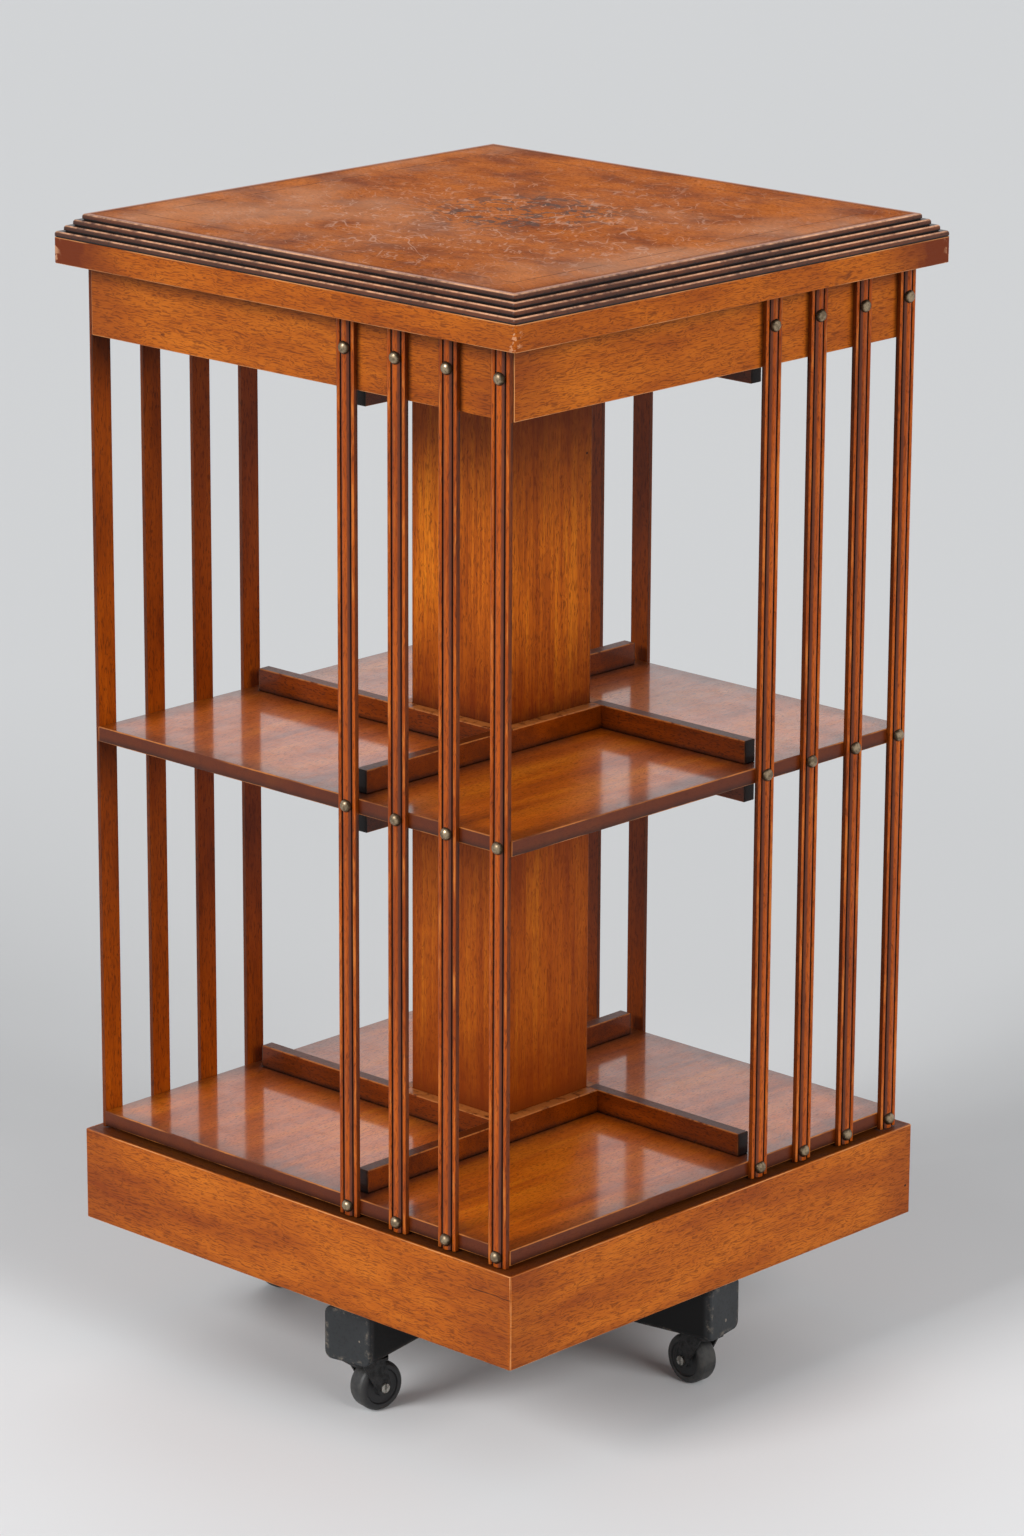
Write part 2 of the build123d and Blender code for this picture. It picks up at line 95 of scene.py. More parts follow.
# ---------------------------------------------------------------- shader maths
class Value:
    """A socket of a node tree. Arithmetic on values adds Math nodes to the tree."""

    def __init__(self, tree: "Tree", socket: bpy.types.NodeSocket) -> None:
        """Wraps one output socket of the tree."""
        self.tree = tree
        self.socket = socket

    def _math(self, operation: str, *others: "Value | float") -> "Value":
        """Adds a Math node that works on this value and the others."""
        inputs = dict(enumerate((self, *others)))
        return self.tree.value(self.tree.add("Math", {"operation": operation}, inputs))

    def __add__(self, other: "Value | float") -> "Value":
        """This value plus the other."""
        return self._math("ADD", other)

    __radd__ = __add__

    def __mul__(self, other: "Value | float") -> "Value":
        """This value times the other."""
        return self._math("MULTIPLY", other)

    __rmul__ = __mul__

    def __sub__(self, other: "Value | float") -> "Value":
        """This value less the other."""
        return self._math("SUBTRACT", other)

    def __rsub__(self, other: float) -> "Value":
        """A number less this value."""
        return self * -1.0 + other

    def __neg__(self) -> "Value":
        """This value with its sign turned."""
        return self * -1.0

    def __truediv__(self, other: "Value | float") -> "Value":
        """This value divided by the other."""
        return self._math("DIVIDE", other)

    def __abs__(self) -> "Value":
        """This value without its sign."""
        return self._math("ABSOLUTE")

    def __pow__(self, power: float) -> "Value":
        """This value to a power."""
        return self._math("POWER", power)

    def fraction(self) -> "Value":
        """What is left of this value above its whole number."""
        return self._math("FRACT")

    def least(self, other: "Value | float") -> "Value":
        """The lesser of the two."""
        return self._math("MINIMUM", other)

    def most(self, other: "Value | float") -> "Value":
        """The greater of the two."""
        return self._math("MAXIMUM", other)

    def beyond(self, limit: "Value | float") -> "Value":
        """1 where this value is greater than the limit, else 0."""
        return self._math("GREATER_THAN", limit)

    def within(self, low: float, high: float) -> "Value":
        """1 where this value lies between the two limits, else 0."""
        return self.beyond(low) * (1 - self.beyond(high))

    def fade(self, start: float, end: float) -> "Value":
        """A smooth step that climbs from 0 to 1.

        Args:
            start: the value at which the step begins; it may be greater than the end.
            end: the value at which the step is done.

        Returns:
            The step.
        """
        ends = (0.0, 1.0) if start < end else (1.0, 0.0)
        sockets = {
            "Value": self, "From Min": min(start, end), "From Max": max(start, end),
            "To Min": ends[0], "To Max": ends[1],
        }
        return self.tree.value(self.tree.add("MapRange", {"interpolation_type": "SMOOTHSTEP"}, sockets))


def distance(x: Value, y: Value, middle: tuple[float, float]) -> Value:
    """How far a point of a plane lies from a middle: the root of the sum of the squares."""
    return ((x - middle[0]) ** 2.0 + (y - middle[1]) ** 2.0) ** 0.5


class Tree:
    """A node tree. Every node in it comes from add."""

    def __init__(self, tree: bpy.types.NodeTree) -> None:
        """Empties the tree and keeps it."""
        self.tree = tree
        self.tree.nodes.clear()

    def add(
        self,
        kind: str,
        settings: dict[str, object] | None = None,
        sockets: dict[int | str, object] | None = None,
    ) -> bpy.types.Node:
        """Adds one node.

        Args:
            kind: the node's type, without its ShaderNode prefix.
            settings: the node's own properties; stops is a colour ramp's list of places and colours.
            sockets: numbers, colours or values for its input sockets, by name or number.

        Returns:
            The new node.
        """
        node = self.tree.nodes.new("ShaderNode" + kind)
        for name, setting in (settings or {}).items():
            if name == "stops":
                elements = node.color_ramp.elements
                for place, _ in setting[2:]:
                    elements.new(place)
                for element, (place, _) in zip(elements, setting):
                    element.position = place
                for element, (_, colour) in zip(elements, setting):
                    element.color = colour
            else:
                setattr(node, name, setting)
        for name, given in (sockets or {}).items():
            self.feed(node.inputs[name], given)
        return node

    def feed(self, target: bpy.types.NodeSocket, given: object) -> None:
        """Feeds an input socket.

        Args:
            target: the socket.
            given: a value to link to it, or a number or colour to set it to.
        """
        if isinstance(given, Value):
            self.tree.links.new(given.socket, target)
        else:
            target.default_value = given

    def value(self, node: bpy.types.Node, output: int | str = 0) -> Value:
        """One of a node's outputs as a value."""
        return Value(self, node.outputs[output])


class Shader(Tree):
    """The node tree of one material, ending in a Principled BSDF."""

    def __init__(self, name: str) -> None:
        """Makes an empty material.

        Args:
            name: the material's name.
        """
        self.material = bpy.data.materials.new(name)
        self.material.use_nodes = True
        super().__init__(self.material.node_tree)
        self.surface = self.add("BsdfPrincipled")
        self.add("OutputMaterial", {}, {"Surface": self.value(self.surface)})

    def spot(self, turn: float = 0.0, shift: Triple = (0.0, 0.0, 0.0)) -> Value:
        """The shaded point in the frame of the side so many quarter turns on, shifted in metres."""
        return self.moved(self.value(self.add("TexCoord"), "Object"), shift, -math.pi / 2 * turn)

    def moved(self, place: Value, shift: Triple, turn: float = 0.0) -> Value:
        """A place turned by so many radians about the Z axis and then shifted."""
        sockets = {"Vector": place, "Rotation": (0.0, 0.0, turn), "Location": shift}
        return self.value(self.add("Mapping", {}, sockets))

    def parts(self, vector: Value) -> tuple[Value, Value, Value]:
        """The three numbers of a vector."""
        node = self.add("SeparateXYZ", {}, {0: vector})
        return self.value(node, 0), self.value(node, 1), self.value(node, 2)

    def wrap(self) -> tuple[Value, Value, Value]:
        """The place in the piece's own UV map."""
        return self.parts(self.value(self.add("TexCoord"), "UV"))

    def vector(self, x: Value | float, y: Value | float, z: Value | float) -> Value:
        """A vector of three numbers."""
        return self.value(self.add("CombineXYZ", {}, {0: x, 1: y, 2: z}))

    def noise(
        self, place: Value, scale: float, detail: float = 2.0, rough: float = 0.5, swirl: float = 0.0
    ) -> Value:
        """Smooth noise between 0 and 1 at a place, with so many lumps to the metre."""
        sockets = {"Vector": place, "Scale": scale, "Detail": detail, "Roughness": rough, "Distortion": swirl}
        return self.value(self.add("TexNoise", {"noise_dimensions": "3D"}, sockets))

    def ramp(self, factor: Value, stops: Sequence[tuple[float, Colour]]) -> Value:
        """The colour that a ramp gives for a factor."""
        return self.value(self.add("ValToRGB", {"stops": list(stops)}, {0: factor}))

    def mix(self, factor: Value | float, first: object, second: object) -> Value:
        """A blend of two colours, from the first at 0 to the second at 1."""
        settings = {"data_type": "RGBA", "blend_type": "MIX"}
        return self.value(self.add("Mix", settings, {0: factor, 6: first, 7: second}), 2)

    def bump(self, height: Value, depth: float, strength: float = 1.0) -> Value:
        """A normal that follows a height between 0 and 1, so many metres deep."""
        return self.value(self.add("Bump", {}, {"Height": height, "Distance": depth, "Strength": strength}))

    def close(self, piece: bpy.types.Object, **sockets: object) -> bpy.types.Object:
        """Sets the surface's sockets and gives the material to every slot of a piece.

        Args:
            piece: the piece that wears it.
            sockets: what each socket takes; a name's underscores stand for spaces.

        Returns:
            The piece.
        """
        for name, given in sockets.items():
            self.feed(self.surface.inputs[name.replace("_", " ")], given)
        if not piece.data.materials:
            piece.data.materials.append(self.material)
        for number in range(len(piece.data.materials)):
            piece.data.materials[number] = self.material
        return piece


def box_of(node: str, turn: int = 0) -> tuple[Triple, Triple]:
    """A node's box in the frame of one side.

    Args:
        node: the node's name.
        turn: quarter turns of the side whose frame is wanted.

    Returns:
        The lowest and the highest corner.
    """
    spin = Matrix.Rotation(-math.pi / 2 * turn, 3, "Z")
    corners = np.array([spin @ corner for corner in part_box(node)])
    return tuple(corners.min(0)), tuple(corners.max(0))


def edge_gap(place: tuple[Value, Value, Value], low: Triple, high: Triple) -> Value:
    """How far a point on a box lies from the box's nearest edge.

    Each face of the box is some distance away: half the width less the distance from the middle.
    On the surface the least of the three distances is 0, so the middle one is the distance to the
    nearest edge.

    Args:
        place: the point.
        low: the box's lowest corner.
        high: the box's highest corner.

    Returns:
        The distance in metres.
    """
    gaps = [(high[i] - low[i]) / 2 - abs(place[i] - (high[i] + low[i]) / 2) for i in range(3)]
    lesser, greater = gaps[0].least(gaps[1]), gaps[0].most(gaps[1])
    return lesser.most(greater.least(gaps[2]))


# -------------------------------------------------------------------- finishes
@dataclass(frozen=True)
class Polish:
    """Polished wood: its colours, its fleck, its rubbed edges and its shine."""

    light: str
    middle: str
    dark: str
    fleck: str
    rubbed: str
    grime: str
    fleck_cover: float = 0.5
    fleck_depth: float = 0.62
    fleck_length: float = 4.2 * MM
    fleck_width: float = 0.95 * MM
    figure: float = 0.8
    figure_length: float = 120 * MM
    figure_width: float = 34 * MM
    streak: float = 0.5
    streak_length: float = 45 * MM
    streak_width: float = 4.5 * MM
    rub_width: float = 0.9 * MM
    rub_strength: float = 0.8
    roughness: float = 0.46
    specular: float = 0.22
    coat: float = 0.0
    coat_roughness: float = 0.12
    relief: float = 0.10 * MM


CASE = Polish(
    "c86c14", "b0580a", "8a3c06", "501e08", "d8945c", "1a0a04",
    fleck_cover=0.6, fleck_length=11 * MM, fleck_width=0.8 * MM, figure=0.85, rub_width=0.75 * MM,
    specular=0.17,
)
COLUMN = Polish(
    "dc7e14", "bc5e0a", "8a3a04", "4a1a04", "cf8440", "200c04",
    fleck_length=11 * MM, fleck_width=0.9 * MM, figure=0.7, figure_length=170 * MM, figure_width=24 * MM,
    streak=1.1, streak_length=150 * MM, streak_width=3.2 * MM, specular=0.14,
)
SHELF = Polish(
    "d6780a", "ba5a02", "843602", "4c1e02", "c87a3a", "140804",
    fleck_cover=0.4, figure_length=150 * MM, streak=0.7, streak_length=120 * MM, roughness=0.40,
    specular=0.25, coat=1.0, coat_roughness=0.10, relief=0.05 * MM,
)
STOP = Polish(
    "8a3a02", "6c2a00", "481a00", "260e02", "cc7c3c", "0a0504",
    fleck_cover=0.4, rub_width=1.0 * MM, roughness=0.40, specular=0.12, coat=0.2, coat_roughness=0.14,
)
SLAT = Polish(
    "c25c0a", "a44806", "742c04", "3e1404", "d67e34", "1c0c06",
    fleck_cover=0.4, fleck_length=9 * MM, fleck_width=0.9 * MM, figure=0.7, streak_length=80 * MM,
    streak_width=2.5 * MM, roughness=0.40, specular=0.18,
)
TOP = Polish(
    "bc6208", "a85404", "7e3804", "54240a", "c98a58", "201006",
    fleck_cover=0.45, figure=1.3, figure_length=60 * MM, figure_width=45 * MM, streak_length=14 * MM,
    streak_width=7 * MM, roughness=0.50, specular=0.02, relief=0.05 * MM,
)
MOULDING = Polish(
    "743a18", "502610", "30160a", "140a06", "e2a67c", "040202",
    fleck_cover=0.2, figure=0.7, roughness=0.36, specular=0.3, coat=0.1, coat_roughness=0.2,
)
CARCASS = Polish(
    "8a5a34", "6c4426", "4a2c18", "301a0e", "a0703f", "1c120c",
    fleck_cover=0.2, roughness=0.62, rub_strength=0.3,
)


class Board:
    """One wooden piece while it is dressed: its shader, its place and its grain."""

    def __init__(self, name: str, polish: Polish, run: Run, turn: float = 0.0, seed: float = 0.0) -> None:
        """Starts the material of one board and lays its grain.

        Args:
            name: the board's node, after which its material is named.
            polish: how the wood is finished.
            run: which way the grain runs.
            turn: quarter turns of the side that the board belongs to.
            seed: what sets its grain apart from another board's.
        """
        self.shader = Shader(f"{name}_wood")
        self.polish = polish
        x, y, z = self.place = self.shader.parts(self.shader.spot(turn))
        along, across, through = {
            Run.ALONG: (x, z, y),
            Run.UPRIGHT: (z, x, y),
            Run.OUTWARDS: (y, x, z),
        }[run]
        self.grain = (along + seed * 1.7, across + seed * 0.61, through)
        self.gloss: Value | float = 1.0
        # noise that breaks up both the dirt and the painted shade laid by dirt_and_shade
        self.dirt = self.grit(60, 3.0, 0.65)
        self.lay_grain()

    def grit(self, scale: float, detail: float, rough: float = 0.5) -> Value:
        """Noise at the place in the frame of the board's side, with so many lumps to the metre."""
        x, y, z = self.place
        return self.shader.noise(self.shader.vector(x * scale, y * scale, z * scale), 1.0, detail, rough)

    def drawn(self, length: float, width: float, detail: float, rough: float, lean: object = 0.0) -> Value:
        """Noise whose lumps are so long along the grain and so wide across it.

        Args:
            length: how long a lump is, in metres.
            width: how wide it is.
            detail: how many finer layers lie over it.
            rough: how strong these are.
            lean: what pushes the lumps across the grain, in metres.

        Returns:
            The noise, between 0 and 1.
        """
        along, across, through = self.grain
        place = self.shader.vector(along / length, (across + lean) / width, (through + lean) / width)
        return self.shader.noise(place, 1.0, detail, rough)

    def lay_grain(self) -> None:
        """Colour, fleck and relief of the bare polished wood.

        The figure is noise drawn out along the grain. The fleck is finer noise, bent a little by a
        broad one so that its dashes waver, and cut off at a level so that only its crests show.
        """
        shader, polish = self.shader, self.polish
        broad = self.drawn(polish.figure_length, polish.figure_width, 3.0, 0.55)
        streak = self.drawn(polish.streak_length, polish.streak_width, 3.0, 0.6)
        bend = self.drawn(16 * MM, 12 * MM, 1.0, 0.5) * 6 * MM
        dashes = self.drawn(polish.fleck_length, polish.fleck_width, 2.0, 0.55, bend)
        hairs = self.drawn(16 * MM, 0.7 * MM, 2.0, 0.6, bend)
        cut = 0.66 - 0.16 * polish.fleck_cover
        fleck = dashes.fade(cut - 0.09, cut + 0.07)
        tone = (broad - 0.5) * 1.5 * polish.figure + (streak - 0.5) * polish.streak + 0.5
        self.colour = shader.ramp(
            tone, [(0.15, paint(polish.dark)), (0.5, paint(polish.middle)), (0.85, paint(polish.light))]
        )
        self.stain(hairs.fade(0.5, 0.75) * 0.25, polish.dark)
        self.stain(fleck * polish.fleck_depth, polish.fleck)
        self.height = (1 - fleck * 0.7) * 0.8 + hairs * 0.2
        self.roughness = polish.roughness + (streak - 0.5) * 0.12 + fleck * 0.10

    def stain(self, amount: Value | float, colour: str) -> None:
        """Lays a colour over the board, as much as the amount says."""
        self.colour = self.shader.mix(amount, self.colour, paint(colour))

    def dirt_and_shade(self, amount: Value, colour: str | None = None) -> None:
        """Darkens as much as the amount says, broken up by noise, in a colour or the polish's grime: old dirt
        in some places, painted shade in others.
        """
        self.stain((amount * (0.55 + 0.9 * self.dirt)).least(1.0), colour or self.polish.grime)

    def rub_edges(self, low: Triple, high: Triple) -> None:
        """Wears the polish through along the edges of a box, more in some places than others.

        Args:
            low: the box's lowest corner, in the frame of the board's side.
            high: the box's highest corner.
        """
        width = self.polish.rub_width * (0.35 + self.grit(90, 3.0, 0.7) * 1.3)
        worn = (edge_gap(self.place, low, high) / width).fade(1.0, 0.55)
        patchy = self.grit(14, 2.0).fade(0.36, 0.60)
        self.stain(worn * patchy * self.polish.rub_strength, self.polish.rubbed)

    def knots(self) -> None:
        """A few small dark knots and bruises."""
        along, across, through = self.grain
        place = self.shader.vector(along * 34, across * 60, through * 60)
        lumps = self.shader.noise(place, 1.0, 2.0, 0.6, 0.5)
        self.stain(lumps.fade(0.70, 0.78) * 0.75, self.polish.fleck)

    def pin_hole(self, along: float, height: float, radius: float) -> None:
        """One small dark hole, so far along the side, so high and so wide."""
        reach = distance(self.place[0], self.place[2], (along, height))
        self.stain(reach.fade(radius, radius * 0.6), "140a06")

    def finish(self, piece: bpy.types.Object) -> bpy.types.Object:
        """Closes the material.

        Args:
            piece: the piece that wears it.

        Returns:
            The piece.
        """
        return self.shader.close(
            piece,
            Base_Color=self.colour,
            Roughness=self.roughness,
            Normal=self.shader.bump(self.height, self.polish.relief, 0.5),
            Specular_IOR_Level=self.polish.specular,
            Coat_Weight=self.gloss * self.polish.coat,
            Coat_Roughness=self.polish.coat_roughness,
        )


@dataclass(frozen=True)
class Metal:
    """Bare metal: bright and dull tones that mingle, and how rough each is."""

    bright: str
    dull: str
    roughness: float
    lumps: float = 300.0
    metallic: float = 1.0
    relief: float = 0.02 * MM

    def dress(self, piece: bpy.types.Object) -> bpy.types.Object:
        """Gives a piece this metal.

        Args:
            piece: the piece, after which the material is named.

        Returns:
            The piece.
        """
        shader = Shader(f"{piece.name}_metal")
        place = shader.spot()
        cloud = shader.noise(place, self.lumps, 4.0, 0.65)
        grit = shader.noise(place, self.lumps * 8, 2.0, 0.6)
        tarnish = (cloud * 0.75 + grit * 0.25).fade(0.38, 0.66)
        return shader.close(
            piece,
            Base_Color=shader.mix(tarnish, paint(self.bright), paint(self.dull)),
            Metallic=self.metallic,
            Roughness=self.roughness + tarnish * 0.22,
            Normal=shader.bump(grit, self.relief, 0.4),
        )


STEEL = Metal("b9b6ae", "6e6a64", 0.28)
BRASS = Metal("b8925a", "6e5228", 0.30)
IRON = Metal("2a2a2b", "141414", 0.55, metallic=0.2, relief=0.12 * MM)
PRESSED = Metal("2c2c2c", "121212", 0.45, lumps=220.0, metallic=0.35, relief=0.05 * MM)


@dataclass(frozen=True)
class AgedBrass:
    """Aged brass domes, bright on the crown and brown towards the rim."""

    bright: str = "a89478"
    brown: str = "4a3c2c"
    brown_from: float = 0.72
    brown_to: float = 0.5
    metallic: float = 0.9
    roughness: float = 0.25
    relief: float = 0.06 * MM

    def dress(self, piece: bpy.types.Object) -> bpy.types.Object:
        """Gives the domes this brass, by how far up the dome their UV map says a point lies.

        Args:
            piece: the domes.

        Returns:
            The domes.
        """
        shader = Shader("stud_brass")
        rise = shader.wrap()[1].fade(self.brown_from, self.brown_to)
        place = shader.spot()
        cloud = shader.noise(place, 260, 4.0, 0.65)
        grit = shader.noise(place, 1500, 2.0, 0.6)
        tarnish = (cloud.fade(0.40, 0.62) * 0.6 + rise * 0.8 + grit * 0.15).least(1.0)
        return shader.close(
            piece,
            Base_Color=shader.mix(tarnish, paint(self.bright), paint(self.brown)),
            Metallic=self.metallic,
            Roughness=self.roughness + tarnish * 0.25,
            Normal=shader.bump(cloud, self.relief, 0.5),
        )


@dataclass(frozen=True)
class SatinPaint:
    """Satin black-grey paint, rubbed pale at the ends' corners, chipped here and there, and darkened by
    painted shade away from the ends.
    """

    dark: str = "262829"
    light: str = "3a3c3e"
    pitted: str = "1a1b1c"
    shaded: str = "0c0c0c"
    rubbed: str = "7d7468"
    chipped: str = "8a8074"
    roughness: float = 0.46
    specular: float = 0.2
    relief: float = 0.10 * MM

    def dress(self, piece: bpy.types.Object, degrees: float, low: Triple, high: Triple) -> bpy.types.Object:
        """Gives an arm this paint, darkened by painted shade away from its ends.

        Args:
            piece: the arm, after which the material is named.
            degrees: the heading of the arm.
            low: its lowest corner, in a frame whose x runs along it.
            high: its highest corner.

        Returns:
            The arm.
        """
        shader = Shader(f"{piece.name}_paint")
        place = shader.parts(shader.spot(degrees / 90))
        spot = shader.spot()
        cloud = shader.noise(spot, 30, 4.0, 0.6)
        grit = shader.noise(spot, 420, 3.0, 0.6)
        colour = shader.mix(cloud, paint(self.dark), paint(self.light))
        colour = shader.mix(grit.fade(0.5, 0.7) * 0.3, colour, paint(self.pitted))
        # painted shade: the arm's sides near-black, the end faces left lit
        inwards = (high[0] - abs(place[0])).fade(3 * MM, 8 * MM)
        colour = shader.mix(inwards * 0.95, colour, paint(self.shaded))
        ragged = shader.noise(spot, 150, 4.0, 0.75).fade(0.50, 0.72)
        rub = edge_gap(place, low, high).fade(5.2 * MM, 2.6 * MM) * ragged * 0.75
        colour = shader.mix(rub, colour, paint(self.rubbed))
        chips = shader.noise(spot, 95, 2.0, 0.5).fade(0.755, 0.775)
        return shader.close(
            piece,
            Base_Color=shader.mix(chips * 0.8, colour, paint(self.chipped)),
            Roughness=self.roughness + grit * 0.16,
            Specular_IOR_Level=self.specular,
            Normal=shader.bump(grit * 0.6 + cloud * 0.4, self.relief, 0.4),
        )


@dataclass(frozen=True)
class Rubber:
    """Black rubber, greyed and dusty on the tread."""

    black: str = "1d1d1e"
    greyed: str = "4a4844"
    dusty: str = "3a3a3a"
    tread_middle: float = 0.67
    tread_full: float = 0.10
    tread_end: float = 0.22
    roughness: float = 0.42
    relief: float = 0.05 * MM

    def dress(self, piece: bpy.types.Object) -> bpy.types.Object:
        """Gives a wheel this rubber, by how far across its section its UV map says a point lies.

        Args:
            piece: the wheel, after which the material is named.

        Returns:
            The wheel.
        """
        shader = Shader(f"{piece.name}_finish")
        off = abs(shader.wrap()[1] - self.tread_middle)
        spot = shader.spot()
        cloud = shader.noise(spot, 120, 4.0, 0.65)
        grit = shader.noise(spot, 900, 2.0, 0.6)
        tread = (1 - off.fade(self.tread_full, self.tread_end)) * cloud.fade(0.3, 0.7)
        colour = shader.mix(tread * 0.6, paint(self.black), paint(self.greyed))
        return shader.close(
            piece,
            Base_Color=shader.mix(grit.fade(0.55, 0.8) * 0.3, colour, paint(self.dusty)),
            Roughness=self.roughness + cloud * 0.2,
            Normal=shader.bump(grit * 0.5 + cloud * 0.5, self.relief, 0.5),
        )


STUD_BRASS = AgedBrass()
ARM_PAINT = SatinPaint()
TYRE = Rubber()


# ------------------------------------------------------------------ surfaces
def ease(points: np.ndarray, radius: float, steps: int = 4) -> np.ndarray:
    """A profile with its inner corners rounded.

    Each corner gives way to a parabola that starts a radius before it and ends a radius after it:
    (1-t)^2 of the start, 2t(1-t) of the corner and t^2 of the end.

    Args:
        points: the profile's corners, one to a row.
        radius: how far from the corner the rounding starts, in metres.
        steps: how many stretches each rounding has.

    Returns:
        The profile's points.
    """
    corner = points[1:-1]
    ways = np.stack([points[:-2], points[2:]]) - corner
    lengths = np.linalg.norm(ways, axis=-1, keepdims=True)
    start, end = corner + ways / lengths * np.minimum(radius, lengths / 2)
    t = np.linspace(0, 1, steps + 1)[None, :, None]
    arcs = (1 - t) ** 2 * start[:, None] + 2 * t * (1 - t) * corner[:, None] + t**2 * end[:, None]
    return np.vstack([points[:1], arcs.reshape(-1, points.shape[1]), points[-1:]])


@dataclass
class Skin:
    """A surface as arrays: vertices, four-sided faces, and each face corner's place in the UV map."""

    vertices: np.ndarray
    faces: np.ndarray
    uv: np.ndarray

    @classmethod
    def lathe(cls, profile: np.ndarray, around: int) -> "Skin":
        """A profile turned about the Z axis.

        A point at radius r and height h goes to (r cos a, r sin a, h) for each angle a. A ring of
        no radius becomes one point when the piece is made. Faces point outwards where the profile
        goes up on the outside.

        Args:
            profile: radius and height of each ring, one to a row.
            around: how many steps go round.

        Returns:
            The surface.
        """
        angle = np.arange(around) / around * 2 * np.pi
        radius, height = profile[:, :1], profile[:, 1:]
        rings = [radius * np.cos(angle), radius * np.sin(angle), np.repeat(height, around, axis=1)]
        i, j = np.meshgrid(np.arange(len(profile) - 1), np.arange(around), indexing="ij")
        corners = [(i, j), (i, j + 1), (i + 1, j + 1), (i + 1, j)]
        faces = np.stack([a * around + b % around for a, b in corners], axis=-1)
        length = np.concatenate([[0], np.cumsum(np.linalg.norm(np.diff(profile, axis=0), axis=1))])
        uv = np.stack([np.stack([b / around, length[a] / length[-1]], axis=-1) for a, b in corners], axis=2)
        return cls(np.stack(rings, axis=-1).reshape(-1, 3), faces.reshape(-1, 4), uv.reshape(-1, 4, 2))

    def placed(self, places: np.ndarray) -> "Skin":
        """Copies of the surface, each turned and then shifted.

        Args:
            places: a four by four matrix for each copy.

        Returns:
            All the copies as one surface.
        """
        turned = np.einsum("sij,vj->svi", places[:, :3, :3], self.vertices) + places[:, None, :3, 3]
        first = np.arange(len(places))[:, None, None] * len(self.vertices)
        faces = (self.faces[None] + first).reshape(-1, 4)
        return Skin(turned.reshape(-1, 3), faces, np.tile(self.uv, (len(places), 1, 1)))

    def piece(self, name: str, sharp: float = 40.0) -> bpy.types.Object:
        """A new piece with this surface.

        Args:
            name: the piece's name.
            sharp: an edge that turns by more than so many degrees stays sharp.

        Returns:
            The piece, with points at the same place merged.
        """
        mesh = bpy.data.meshes.new(name)
        mesh.vertices.add(len(self.vertices))
        mesh.vertices.foreach_set("co", self.vertices.astype(np.float32).ravel())
        mesh.loops.add(self.faces.size)
        mesh.loops.foreach_set("vertex_index", self.faces.astype(np.int32).ravel())
        mesh.polygons.add(len(self.faces))
        mesh.polygons.foreach_set("loop_start", np.arange(0, self.faces.size, 4, dtype=np.int32))
        mesh.update(calc_edges=True)
        mesh.uv_layers.new(name="UVMap").data.foreach_set("uv", self.uv.astype(np.float32).ravel())
        piece = bpy.data.objects.new(name, mesh)
        bpy.context.scene.collection.objects.link(piece)
        weld = piece.modifiers.new("merge", "WELD")
        weld.merge_threshold = 1e-6
        evaluated = piece.evaluated_get(bpy.context.evaluated_depsgraph_get())
        piece.data = bpy.data.meshes.new_from_object(evaluated)
        piece.modifiers.clear()
        piece.data.shade_smooth()
        piece.data.set_sharp_from_angle(angle=math.radians(sharp))
        return piece


# --------------------------------------------------------------- sub-assemblies
@dataclass
class Assembly:
    """A sub-assembly: the frame's nodes, and its joints."""

    nodes: dict[str, bpy.types.Object]
    joints: list[dict] = field(default_factory=list)

    def make(self) -> Pieces:
        """Builds and dresses the sub-assembly's pieces and gives them back."""
        raise NotImplementedError

    def plain(self, name: str, seed: float) -> bpy.types.Object:
        """Dresses a hidden board as bare carcass wood."""
        return Board(name, CARCASS, Run.ALONG, 0, seed).finish(self.nodes[name])


@dataclass
class Plinth(Assembly):
    """Mitred plinth boards with what they hide."""

    shaded_ledge: tuple[float, float] = (1.2 * MM, 2.2 * MM)
    foot_dirt: float = 8 * MM
    end_dirt: float = 60 * MM
    split_height: float = 157.2 * MM
    split_start: float = 186 * MM
    pin_hole: Triple = (225 * MM, 126 * MM, 1.3 * MM)

    def make(self) -> Pieces:
        """Dresses the boards and what they hide, and gives them back."""
        boards = [self.dress_side(turn, side) for turn, side in enumerate(SIDES)]
        return boards + [self.plain("plinth_bearers", 7.7), self.plain("plinth_corner_blocks", 7.7)]

    def dress_side(self, turn: int, side: str) -> bpy.types.Object:
        """One board, with painted shade on its ledge, and dark at its foot and at its ends.

        Args:
            turn: quarter turns from the front to the board's side.
            side: the side's name.

        Returns:
            The board.
        """
        name = f"plinth_{side}"
        low, high = box_of(name, turn)
        board = Board(name, CASE, Run.ALONG, turn, 3.1 + turn)
        x, y, z = board.place
        board.knots()
        # painted shade: the top ledge, inward of its arris, darkened as the shadowed gap under the lowest
        # shelf looks
        on_top = (z - high[2] + 0.3 * MM).beyond(0.0)
        board.stain(on_top * (y - low[1]).fade(*self.shaded_ledge) * 0.85, "241006")
        board.dirt_and_shade((z - low[2]).fade(self.foot_dirt, 0.0) * 0.3, "5c2406")
        board.dirt_and_shade((high[0] - abs(x)).fade(self.end_dirt, 0.0) * 0.36, "6e2c0a")
        board.rub_edges(low, high)
        if side == "front":
            self.split(board)
        if side == "right":
            board.pin_hole(*self.pin_hole)
        return board.finish(self.nodes[name])

    def split(self, board: Board) -> None:
        """A hair-thin split that runs in from the board's corner and wanders a little.

        Args:
            board: the board that it is in.
        """
        x, _, z = board.place
        wander = board.shader.noise(board.shader.vector(x * 40, 0.0, 0.0), 1.0, 2.0) - 0.5
        off = abs(z - self.split_height - wander * 2.5 * MM)
        reached = x.fade(self.split_start, self.split_start + 10 * MM)
        board.stain(off.fade(0.5 * MM, 0.12 * MM) * reached * 0.85, "241008")


